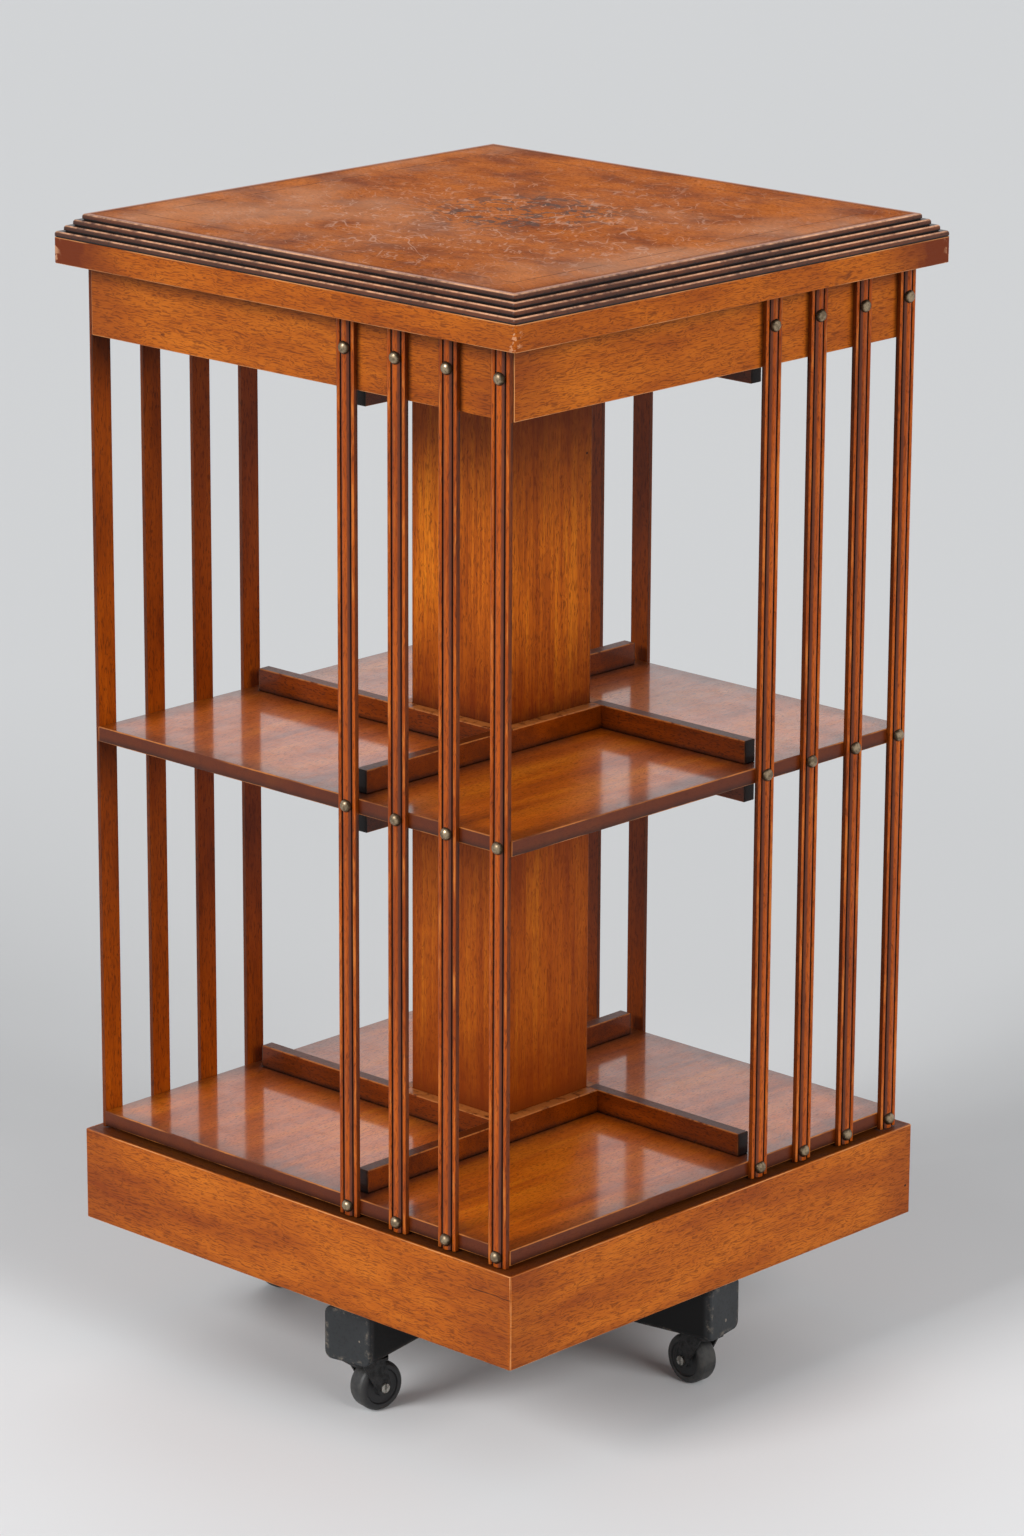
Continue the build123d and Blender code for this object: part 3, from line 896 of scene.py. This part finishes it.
@dataclass
class Shelves(Assembly):
    """The two shelves and the book stops that stand and hang on them."""

    column_half: float = 49 * MM
    stop_thickness: float = 11 * MM
    stop_height: float = 18.2 * MM
    stop_reach: float = 208 * MM

    def make(self) -> Pieces:
        """Dresses the shelves and the stops.

        Returns:
            Both shelves and both sets of stops.
        """
        return [
            self.dress_shelf("bottom_shelf", 11.3),
            self.dress_shelf("mid_shelf", 14.9),
            self.dress_stops("book_stops_lower", 2.2),
            self.dress_stops("book_stops_upper", 5.4),
        ]

    def footprint(self, x: Value, y: Value) -> Value:
        """How far a point of a shelf lies from the column and the stops on it.

        The four stops are rectangles that follow each other by quarter turns. The distance to a
        rectangle is the greater of what the point lies beyond it along x and along y.

        Args:
            x: the point's x.
            y: the point's y.

        Returns:
            The distance in metres.
        """
        half, reach = self.column_half, self.stop_reach
        long_middle, long_half = (half - reach) / 2, (half + reach) / 2
        wide_middle, wide_half = -half - self.stop_thickness / 2, self.stop_thickness / 2
        nearest = abs(x).most(abs(y)) - half
        for along, outwards in ((x, y), (y, -x), (-x, -y), (-y, x)):
            beyond_end = abs(along - long_middle) - long_half
            beyond_side = abs(outwards - wide_middle) - wide_half
            nearest = nearest.least(beyond_end.most(beyond_side))
        return nearest

    def dress_shelf(self, name: str, seed: float) -> bpy.types.Object:
        """Glossy top, darker round the column and stops and along the rims, with dark edges.

        Args:
            name: the shelf's node.
            seed: what sets its grain apart.

        Returns:
            The shelf.
        """
        low, high = box_of(name)
        board = Board(name, SHELF, Run.OUTWARDS, 0, seed)
        shader = board.shader
        x, y, z = board.place
        rim = high[0] - abs(x).most(abs(y))
        near = self.footprint(x, y)
        edge = rim.fade(1.2 * MM, 0.5 * MM)
        board.dirt_and_shade(near.fade(55 * MM, 0.0) * 0.5, "642604")
        board.dirt_and_shade(near.fade(18 * MM, 0.0) * 0.5, "2c1004")
        board.dirt_and_shade(near.fade(2.2 * MM, 0.3 * MM) * 0.9)
        board.dirt_and_shade(rim.fade(26 * MM, 1.0 * MM) * 0.55, "3a1606")
        board.stain(edge * 0.8, "5a2004")
        board.dirt_and_shade(edge * (0.2 + (z - low[2]).fade(6 * MM, 0.0) * 0.6), "240c04")
        board.height = board.height * 0.35 + shader.noise(shader.spot(), 240, 2.0, 0.5) * 0.65
        scuffs = shader.noise(shader.spot(), 60, 4.0, 0.75).fade(0.38, 0.62)
        board.gloss = (1 - edge * 0.95) * (0.78 + scuffs * 0.22)
        board.rub_edges(low, high)
        return board.finish(self.nodes[name])

    def dress_stops(self, name: str, seed: float) -> bpy.types.Object:
        """Stops with bright arrises, dark ends and dirt where they meet the shelf.

        The stops of one tier stand on its floor and hang under its ceiling, so the rise is taken
        from the nearer of the two. An arris is where two of the distances to a stop's faces are
        small: the greater of the two is the distance to it.

        Args:
            name: the node that holds the stops of one tier.
            seed: what sets their grain apart.

        Returns:
            The piece.
        """
        board = Board(name, STOP, Run.ALONG, 0, seed)
        x, y, z = board.place
        half, wide = self.column_half, self.stop_thickness
        low_z, high_z = (corner.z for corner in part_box(name))
        rise = (z - low_z).least(high_z - z)
        from_top = self.stop_height - rise
        outer, inner = abs(x).most(abs(y)), abs(x).least(abs(y))
        far = self.stop_reach - outer
        flank = (inner - half).least(half + wide - inner)
        arris = from_top.most(flank).least(far.most(from_top.least(flank)))
        ragged = board.shader.noise(board.shader.spot(), 110, 3.0, 0.7)
        width = STOP.rub_width * (0.3 + ragged * 1.4)
        rub = (1 - (arris / width).fade(0.5, 1.0)) * (outer - half).beyond(-1 * MM)
        board.dirt_and_shade(from_top.fade(0.6 * MM, 0.2 * MM) * 0.6, "341808")
        board.stain(rub * 0.5 * ragged.fade(0.3, 0.5), STOP.rubbed)
        board.dirt_and_shade(far.fade(1.3 * MM, 0.2 * MM) * 0.95, "1c0c06")
        board.dirt_and_shade(rise.fade(5 * MM, 0.0) * 0.7)
        board.dirt_and_shade((z - (low_z + high_z) / 2).beyond(0.0) * 0.35)
        return board.finish(self.nodes[name])


@dataclass
class Column(Assembly):
    """Four upright boards round the spindle."""

    pin_hole: Triple = (42.6 * MM, 723 * MM, 1.2 * MM)

    def make(self) -> Pieces:
        """Dresses the four boards."""
        return [self.dress_side(turn, side) for turn, side in enumerate(SIDES)]

    def dress_side(self, turn: int, side: str) -> bpy.types.Object:
        """One board: upright grain, darker at the foot and head of each tier (dirt and painted shade), with
        painted shade over the lower tier and the top of the upper one.

        Args:
            turn: quarter turns from the front to the board's side.
            side: the side's name.

        Returns:
            The board.
        """
        name = f"column_board_{side}"
        low, high = box_of(name, turn)
        under, over = (corner.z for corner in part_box("mid_shelf"))
        board = Board(name, COLUMN, Run.UPRIGHT, turn, 21.0 + turn * 2.3)
        x, _, z = board.place
        ends = (z - low[2]).least(high[2] - z)
        near = ends.least(abs((z - over).most(under - z)))
        # darker towards the foot and head of each tier: partly dirt, partly painted shade where the shelves
        # meet the board
        board.dirt_and_shade(near.fade(110 * MM, 12 * MM) * 0.8, "641e02")
        board.dirt_and_shade(near.fade(34 * MM, 15 * MM) * 0.6, "2c0e02")
        board.dirt_and_shade((high[0] - abs(x)).fade(2.2 * MM, 0.0) * 0.4)
        # painted shade: the whole lower tier darker, standing for the mid shelf's shadow
        board.dirt_and_shade((under - z).beyond(0.0) * 0.5, "7c3204")
        # painted shade towards the top of the upper tier, under the soffit
        board.dirt_and_shade((z - over).fade(150 * MM, 250 * MM) * 0.4, "6e2a04")
        if side == "right":
            # more painted shade under the soffit on the right board
            board.dirt_and_shade((z - over).fade(100 * MM, 250 * MM) * 0.5, "5a2204")
            board.pin_hole(*self.pin_hole)
        return board.finish(self.nodes[name])


@dataclass
class Head(Assembly):
    """Frieze, soffit, top board, moulding and veneered panel."""

    reed_rise: float = 4.4 * MM
    reed_run: float = 4.925 * MM
    reed_nose: float = 2.2 * MM
    string_inset: float = 27.0 * MM
    string_width: float = 1.1 * MM
    slat_half: float = 9.0 * MM
    slat_middles: tuple[float, ...] = (55.5 * MM, 107.2 * MM, 158.9 * MM, 210.6 * MM)
    marks_middle: tuple[float, float] = (8 * MM, 16 * MM)
    worn_middle: tuple[float, float] = (30 * MM, -30 * MM)
    scratches: tuple[Triple, ...] = ((16, 0.0, 0.012), (30, 3.0, 0.016), (55, 7.0, 0.024))

    def make(self) -> Pieces:
        """Dresses the whole head of the case.

        Returns:
            Its boards, moulding and panel.
        """
        friezes = [self.dress_frieze(turn, side) for turn, side in enumerate(SIDES)]
        soffit = self.plain("soffit_board", 6.0)
        return friezes + [soffit, self.dress_top(), self.dress_moulding(), self.dress_panel()]

    def dress_frieze(self, turn: int, side: str) -> bpy.types.Object:
        """One frieze board, darker under the top with dirt and painted shade, and with painted shade beside
        the slats.

        Args:
            turn: quarter turns from the front to the board's side.
            side: the side's name.

        Returns:
            The board.
        """
        name = f"frieze_{side}"
        low, high = box_of(name, turn)
        board = Board(name, CASE, Run.ALONG, turn, 31.0 + turn * 1.9)
        x, _, z = board.place
        board.knots()
        board.dirt_and_shade((high[0] - abs(x)).fade(70 * MM, 0.0) * 0.3, "6e2c0a")
        # darker just under the top board: partly dirt, partly painted shade under the overhang
        board.dirt_and_shade((high[2] - z).fade(10 * MM, 0.0) * 0.55, "2c1004")
        board.rub_edges(low, high)
        gap = abs(x - self.slat_middles[0])
        for middle in self.slat_middles[1:]:
            gap = gap.least(abs(x - middle))
        # painted shade: a dark band beside each slat, where it stands on the frieze
        board.dirt_and_shade((gap - self.slat_half).fade(5 * MM, 0.3 * MM) * 0.75, "2c1004")
        return board.finish(self.nodes[name])

    def around(self, board: Board, seed: float, start: float = 0.0) -> Value:
        """Turns the grain of a square ring along each of its sides, so that it meets at the mitres.

        Args:
            board: the ring's board, whose grain is laid again.
            seed: what sets the grain of two neighbours apart.
            start: where along itself the grain starts.

        Returns:
            How far out each point lies.
        """
        x, y, z = board.place
        side = abs(x).beyond(abs(y))
        outer = abs(x).most(abs(y))
        board.grain = (x + (y - x) * side + start + side * seed, z, outer)
        board.lay_grain()
        return outer

    def dress_top(self) -> bpy.types.Object:
        """Fascia, darker towards the corners away from the front one, which is chipped, and near-black inward
        of its outer faces as painted shade under the moulding.

        Returns:
            The top board.
        """
        low, high = box_of("top_board")
        board = Board("top_board", CASE, Run.ALONG, 0, 41.0)
        x, y, _ = board.place
        outer = self.around(board, 3.3, 4.4)
        board.knots()
        corner = high[0] - abs(x).least(abs(y))
        from_front = abs(x - high[0]) + abs(y - low[1])
        board.dirt_and_shade(corner.fade(100 * MM, 0.0) * (0.25 + from_front.fade(0.28, 0.40) * 0.95), "6a2a0a")
        board.rub_edges(low, high)
        chips = board.shader.noise(board.shader.spot(), 170, 2.0, 0.6).fade(0.56, 0.60)
        board.stain(corner.fade(9 * MM, 2 * MM) * chips * 0.6, "d8a078")
        # painted shade: near-black more than 2 mm in from the outer faces, as in the quirk under the moulding
        board.dirt_and_shade((outer - high[0]).fade(-1.2 * MM, -2.0 * MM), "140a06")
        return board.finish(self.nodes["top_board"])

    def dress_moulding(self) -> bpy.types.Object:
        """Dark reeds, black in the quirks and on the treads, pale on each nose: partly rubbed through, partly
        a painted highlight.

        Each reed is a step: how far a point has climbed, counted in steps, gives the step it is on
        and, from what is left over, its rise on that step and its distance behind the nose.

        Returns:
            The moulding.
        """
        low, high = box_of("top_moulding")
        board = Board("top_moulding", MOULDING, Run.ALONG, 0, 51.0)
        shader = board.shader
        z = board.place[2]
        outer = self.around(board, 2.1)
        climb = (z - low[2] - 0.05 * MM) / self.reed_rise
        step = climb.fraction()
        inset = high[0] - (climb - step) * self.reed_run - outer
        rise = step * self.reed_rise
        tread = inset.fade(self.reed_nose * 0.8, self.reed_nose * 1.1)
        crest = rise.fade(3.3 * MM, 3.9 * MM) * inset.fade(2.5 * MM, 1.7 * MM)
        ragged = shader.noise(shader.spot(), 130, 3.0, 0.7)
        patchy = shader.noise(shader.spot(), 16, 2.0, 0.5)
        board.dirt_and_shade(rise.fade(1.8 * MM, 0.6 * MM) * 1.2)
        board.stain(tread * 0.85, "0e0a08")
        # pale line on each nose's crest: partly worn polish, partly a painted highlight where the nose turns
        # up to the light
        board.stain(crest * (0.9 * ragged + 0.7 * patchy).fade(0.50, 1.05), MOULDING.rubbed)
        flush = (z - high[2] + 0.2 * MM).beyond(0.0) * inset.beyond(self.reed_nose)
        board.stain(flush, "98501e")
        return board.finish(self.nodes["top_moulding"])

    def scratched(self, board: Board) -> Value:
        """Old fine scratches, thickest on the worn middle.

        A scratch lies where a bent noise is near its middle level, so it is a thin line along that
        level. Two more noises keep only stretches of it, in patches.

        Args:
            board: the panel.

        Returns:
            1 on a scratch, 0 beside it.
        """
        shader = board.shader
        x, y, _ = board.place
        swept = shader.vector(x + y, (y - x) * 0.6, 0.0)
        total: Value | float = 0.0
        for scale, shift, thin in self.scratches:
            moved = shader.moved(swept, (shift, shift, shift))
            hair = abs(shader.noise(moved, scale, 2.0, 0.5, 0.4) - 0.5).fade(thin, thin * 0.3)
            stretch = shader.noise(moved, scale * 1.7, 1.0).fade(0.47, 0.57)
            patch = shader.noise(shader.spot(0, (shift, 0.0, shift)), 11, 2.0, 0.6).fade(0.34, 0.52)
            total = hair * stretch * patch + total
        worn = distance(x, y, self.worn_middle).fade(0.24, 0.10)
        return (total * (0.30 + worn * 0.70)).least(1.0)

    def dress_panel(self) -> bpy.types.Object:
        """Mottled veneer with an inlaid line, old scratches, dark marks near the middle and pale clouds
        towards the ends that are partly painted sheen.

        Returns:
            The panel.
        """
        high = box_of("top_panel")[1]
        board = Board("top_panel", TOP, Run.ALONG, 0, 61.0)
        shader = board.shader
        x, y, _ = board.place
        rim = high[0] - abs(x).most(abs(y))
        spot = shader.spot()
        clouds = shader.noise(spot, 9, 4.0, 0.6, 0.6)
        board.stain(clouds.fade(0.52, 0.75) * 0.5, "74340a")
        # pale clouds, stronger towards both ends: partly bloom in the polish, partly painted sheen
        bloom_and_sheen = shader.noise(shader.spot(0, (3.1, 1.3, 0.0)), 6, 3.0, 0.6).fade(0.42, 0.70)
        ends = x.fade(0.05, -0.16).most(x.fade(0.06, 0.2))
        board.stain(bloom_and_sheen * (0.35 + 0.65 * ends) * 0.36, "cf9f7e")
        line = abs(rim - self.string_inset).fade(self.string_width, self.string_width / 3)
        board.stain(line * shader.noise(spot, 34, 3.0, 0.6).fade(0.36, 0.52) * 0.7, "4a2414")
        marks = shader.noise(spot, 70, 3.0, 0.7, 0.8).fade(0.52, 0.56)
        board.stain(marks * distance(x, y, self.marks_middle).fade(0.11, 0.04) * 0.8, "4c3c38")
        scratches = self.scratched(board)
        board.stain(scratches * 0.5, "cca692")
        board.dirt_and_shade(rim.fade(6 * MM, 0.0) * 0.5)
        board.height = board.height - scratches * 0.5
        board.roughness = board.roughness + scratches * 0.15 + (clouds - 0.5) * 0.2
        return board.finish(self.nodes["top_panel"])


@dataclass
class Slats(Assembly):
    """Sixteen reeded slats."""

    reed_half: float = 4.2 * MM
    groove: float = 1.5 * MM
    bead_outer: float = 8.6 * MM
    side_start: float = 8.8 * MM
    bead_rise: float = 3.6 * MM
    crest_rise: float = 5.0 * MM
    back: float = 220.5 * MM

    def make(self) -> Pieces:
        """Dresses the slats of every side.

        Returns:
            The slats.
        """
        return [
            self.dress_slat(f"slat_{side}_{number}", turn, turn * 4.0 + number * 0.73)
            for turn, side in enumerate(SIDES)
            for number in range(1, 5)
        ]

    def dress_slat(self, name: str, turn: int, seed: float) -> bpy.types.Object:
        """One slat: rubbed crests, purple-brown flanks, dark grooves, sides dark partly with painted shade,
        painted shade on its inner face (deep on the back slats) and painted shadow under the frieze and the
        mid shelf.

        Args:
            name: the slat's node.
            turn: quarter turns from the front to its side.
            seed: what sets its grain apart.

        Returns:
            The slat.
        """
        low, high = box_of(name, turn)
        board = Board(name, SLAT, Run.UPRIGHT, turn, seed)
        shader = board.shader
        x, y, z = board.place
        off = abs(x - (low[0] + high[0]) / 2)
        proud = -y - self.back
        ragged = shader.noise(shader.vector(x * 200, y * 200, z * 25), 1.0, 3.0, 0.7)
        patchy = shader.noise(shader.vector(x * 30, y * 30, z * 7), 1.0, 2.0)
        front = proud.fade(1.2 * MM, 2.4 * MM)
        groove_end = self.reed_half + self.groove
        flank = off.fade(1.7 * MM, 3.1 * MM) * (1 - off.beyond(groove_end))
        board.stain(flank * front * (0.60 + patchy * 0.4), "523026")
        board.stain(off.within(self.reed_half - 0.2 * MM, groove_end) * front * 0.9, "24120e")
        bead = off.within(groove_end + 0.5 * MM, self.bead_outer) * proud.beyond(self.bead_rise)
        crest = off.fade(1.6 * MM, 0.4 * MM) * proud.beyond(self.crest_rise)
        board.stain(bead.most(crest * 0.4) * ragged.fade(0.48, 0.68) * 0.6, SLAT.rubbed)
        # painted shade on the inner face, deep on the back side's slats
        dull = 0.42 if name.startswith("slat_back") else 0.12
        board.stain((1 - front) * dull, "2e1c12")
        # sides darker: partly their own colour, partly painted shade between the slats
        board.stain(off.beyond(self.side_start) * 0.6, "200c04")
        # painted shadow on the inner face just under the frieze and under the mid shelf
        for carrier, depth in (("frieze_front", 0.7), ("mid_shelf", 0.6)):
            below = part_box(carrier)[0].z - z
            board.stain(below.fade(60 * MM, 0.0) * below.beyond(0.0) * (1 - front) * depth, "160804")
        return board.finish(self.nodes[name])


@dataclass
class Studs(Assembly):
    """Domed brass heads, one solid of revolution each."""

    radius: float = 5.0 * MM
    crown: float = 4.6 * MM
    rim: float = 0.08
    seat: float = 224.5 * MM
    heights: tuple[float, ...] = (184.6 * MM, 500.0 * MM, 845.5 * MM)
    around: int = 28

    def make(self) -> Pieces:
        """Builds and dresses the heads, which stand for the plain studs.

        Returns:
            The one piece that they make.
        """
        heads = self.build()
        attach(heads, "case")
        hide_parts("brass_studs")
        return [STUD_BRASS.dress(heads)]

    def build(self) -> bpy.types.Object:
        """All the heads in one mesh: a dome on a short rim, closed underneath.

        The dome is a quarter of an ellipse from the rim up to the crown: radius times the cosine,
        and crown times the rim's share plus the sine of what is left.

        Returns:
            The piece.
        """
        angle = np.linspace(0, np.pi / 2, 9)
        climb = self.rim + (1 - self.rim) * np.sin(angle)
        dome = np.stack([self.radius * np.cos(angle), self.crown * climb], axis=1)
        profile = np.vstack([[[0.0, 0.0], [self.radius, 0.0]], dome])
        profile[-1, 0] = 0.0
        places = []
        for turn, side in enumerate(SIDES):
            spin = Matrix.Rotation(math.pi / 2 * turn, 4, "Z")
            lay = Matrix.Rotation(math.pi / 2, 4, "X")
            for number in range(1, 5):
                low, high = box_of(f"slat_{side}_{number}", turn)
                along = (low[0] + high[0]) / 2
                places += [spin @ Matrix.Translation((along, -self.seat, h)) @ lay for h in self.heights]
        return Skin.lathe(profile, self.around).placed(np.array(places)).piece("stud_heads")


@dataclass
class Stand(Assembly):
    """Painted cross, spindle, flange and bolts."""

    turn: float = 10.0
    reach: float = 211 * MM
    half_width: float = 21.2 * MM

    def make(self) -> Pieces:
        """Dresses the cross, the metal on it and the bearing above it.

        Returns:
            The arms, the fittings and the bearing block.
        """
        arms = [
            self.dress_arm("stand_arm_lower", self.turn),
            self.dress_arm("stand_arm_upper", self.turn + 90),
        ]
        metals = {
            "spindle": STEEL, "flange_bolts": STEEL, "spindle_flange": IRON, "caster_sockets": PRESSED,
            "pivot_cup": BRASS, "lower_bush": BRASS,
        }
        fittings = [metal.dress(self.nodes[name]) for name, metal in metals.items()]
        return arms + fittings + [self.plain("bearing_block", 8.8)]

    def dress_arm(self, name: str, degrees: float) -> bpy.types.Object:
        """Paints one arm.

        Args:
            name: the arm's node.
            degrees: the heading of the arm.

        Returns:
            The piece.
        """
        bottom, top = (corner.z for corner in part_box(name))
        low, high = (-self.reach, -self.half_width, bottom), (self.reach, self.half_width, top)
        return ARM_PAINT.dress(self.nodes[name], degrees, low, high)


@dataclass
class Casters(Assembly):
    """Forks, axles and rubber wheels."""

    section: tuple[tuple[float, float], ...] = (
        (3.06, 9.0), (6.4, 9.0), (7.4, 7.3), (13.2, 7.0), (14.0, 7.6), (14.4, 8.9),
        (16.2, 9.0), (17.6, 8.6), (19.2, 7.2), (20.0, 5.2), (20.0, 1.6), (20.0, 0.0),
    )
    easing: float = 0.5 * MM
    around: int = 96

    def make(self) -> Pieces:
        """Builds the wheels and dresses the casters.

        Returns:
            A wheel, a fork and an axle for each caster.
        """
        pieces = []
        for number in range(1, 5):
            wheel = self.build_wheel(number)
            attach(wheel, f"wheel_{number}")
            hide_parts(f"caster_wheel_{number}")
            pieces.append(TYRE.dress(wheel))
            pieces.append(PRESSED.dress(self.nodes[f"caster_fork_{number}"]))
            pieces.append(STEEL.dress(self.nodes[f"caster_axle_{number}"]))
        return pieces

    def build_wheel(self, number: int) -> bpy.types.Object:
        """One wheel turned about its axle: tread, round shoulders, stepped and dished faces.

        The section gives radius and half width in millimetres, from the bore out to the middle of
        the tread. Its mirror image closes the ring.

        Args:
            number: which caster it belongs to.

        Returns:
            The piece, in place.
        """
        half = ease(np.array(self.section) * MM, self.easing)
        mirrored = half[::-1] * np.array([1.0, -1.0])
        ring = np.vstack([half, mirrored[1:], half[:1]])[::-1]
        joint = next(j for j in self.joints if j["name"] == f"wheel_roll_{number}")
        swing = Vector(joint["axis"]).normalized().to_track_quat("Z", "Y").to_matrix().to_4x4()
        place = np.array(Matrix.Translation(joint["pos_m"]) @ swing)
        return Skin.lathe(ring, self.around).placed(place[None]).piece(f"wheel_{number}_rubber")


# ---------------------------------------------------------------------- studio
@dataclass(frozen=True)
class Lamp:
    """A broad far lamp, which lights floor and case alike.

    It hangs in the direction towards, with a strength in watts to the square metre and a width in
    degrees. Polished surfaces mirror it only where it shines.
    """

    name: str
    towards: Triple
    strength: float
    spread: float
    shines: bool = False

    def hang(self) -> None:
        """Puts the lamp into the scene."""
        data = bpy.data.lights.new(self.name, "SUN")
        data.energy = self.strength
        data.angle = math.radians(self.spread)
        lamp = bpy.data.objects.new(self.name, data)
        lamp.rotation_euler = Vector(self.towards).to_track_quat("Z", "Y").to_euler()
        lamp.visible_glossy = self.shines
        bpy.context.scene.collection.objects.link(lamp)


@dataclass
class Studio:
    """Floor, lamps, world and camera."""

    floor_half: float = 30.0
    lens: float = 127.82
    sensor: float = 36.0
    eye: Triple = (2.8051, -2.9558, 1.6450)
    yaw: float = 43.38
    pitch: float = -16.066
    roll: float = 0.260
    # painted light: the floor's tone by depth, standing for how the light falls over a paper sweep
    paper: tuple[tuple[float, float], ...] = (
        (-1.5, 0.80), (-0.36, 0.80), (0.1, 0.72), (0.5, 0.625), (0.85, 0.595), (1.44, 0.60),
        (2.0, 0.622), (7.0, 0.626),
    )
    air: Colour = (0.97, 0.98, 1.0, 1.0)
    air_strength: float = 0.34
    backdrop: Colour = (0.84, 0.84, 0.855, 1.0)
    lamps: tuple[Lamp, ...] = (
        Lamp("key_lamp", (-0.15, -1.0, 0.62), 2.15, 24.0, shines=True),
        Lamp("side_lamp", (1.0, -0.1, 0.5), 1.7, 30.0),
        Lamp("back_lamp", (-0.9, 1.0, 0.8), 0.6, 40.0),
    )

    def make(self) -> None:
        """Builds the studio."""
        self.build_floor()
        self.build_world()
        for lamp in self.lamps:
            lamp.hang()
        self.build_camera()
        bpy.context.scene.view_settings.view_transform = "Standard"

    def build_floor(self) -> None:
        """A pale floor whose tone drifts from near to far: painted light, standing for how the light falls
        over a paper sweep.
        """
        corners = np.array([(-1, -1, 0), (1, -1, 0), (1, 1, 0), (-1, 1, 0)]) * self.floor_half
        uv = np.array([[(0, 0), (1, 0), (1, 1), (0, 1)]])
        floor = Skin(corners, np.array([[0, 1, 2, 3]]), uv).piece("studio_floor")
        shader = Shader("studio_paper")
        x, y, _ = shader.parts(shader.spot())
        yaw = math.radians(self.yaw)
        depth = y * math.cos(yaw) - x * math.sin(yaw)
        near, far = self.paper[0][0], self.paper[-1][0]
        stops = [((s - near) / (far - near), (v * 0.985, v, v * 1.012, 1.0)) for s, v in self.paper]
        # painted light: the floor's tone follows the drift of light over the sweep, darker round and behind
        # the case
        colour = shader.ramp((depth - near) / (far - near), stops)
        shader.close(floor, Base_Color=colour, Roughness=0.9, Specular_IOR_Level=0.1)

    def build_world(self) -> None:
        """Even pale light; the camera and shiny surfaces see the same pale grey."""
        world = bpy.data.worlds.new("studio_air")
        bpy.context.scene.world = world
        world.use_nodes = True
        sky = Tree(world.node_tree)
        path = sky.add("LightPath")
        seen = sky.value(path, "Is Camera Ray").most(sky.value(path, "Is Glossy Ray"))
        light = sky.add("Background", {}, {"Color": self.air, "Strength": self.air_strength})
        picture = sky.add("Background", {}, {"Color": self.backdrop, "Strength": 1.0})
        blend = sky.add("MixShader", {}, {0: seen, 1: sky.value(light), 2: sky.value(picture)})
        sky.add("OutputWorld", {}, {"Surface": sky.value(blend)})

    def build_camera(self) -> None:
        """The camera at the photograph's place.

        It looks along depth. Right and up lie square to depth, level and plumb but for the roll.
        """
        yaw, pitch, roll = (math.radians(v) for v in (self.yaw, self.pitch, self.roll))
        flat = math.cos(pitch)
        depth = Vector((-math.sin(yaw) * flat, math.cos(yaw) * flat, math.sin(pitch)))
        level = depth.cross(Vector((0, 0, 1))).normalized()
        plumb = level.cross(depth)
        right = level * math.cos(roll) + plumb * math.sin(roll)
        up = plumb * math.cos(roll) - level * math.sin(roll)
        data = bpy.data.cameras.new("camera")
        data.lens, data.sensor_width = self.lens, self.sensor
        data.clip_start, data.clip_end = 0.1, 200.0
        camera = bpy.data.objects.new("camera", data)
        axes = Matrix((right, up, -depth)).transposed().to_4x4()
        camera.matrix_world = Matrix.Translation(self.eye) @ axes
        bpy.context.scene.collection.objects.link(camera)
        bpy.context.scene.camera = camera


def main() -> None:
    """Builds the sub-assemblies in order, reports their pieces and sets up the studio."""
    logging.basicConfig(level=logging.INFO, format="%(name)s %(message)s")
    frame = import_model()
    for kind in (Plinth, Shelves, Column, Head, Slats, Studs, Stand, Casters):
        for piece in kind(frame["nodes"], frame["joints"]).make():
            LOG.info("%s: %s", kind.__name__, piece.name)
    Studio().make()


if __name__ == "__main__":
    main()
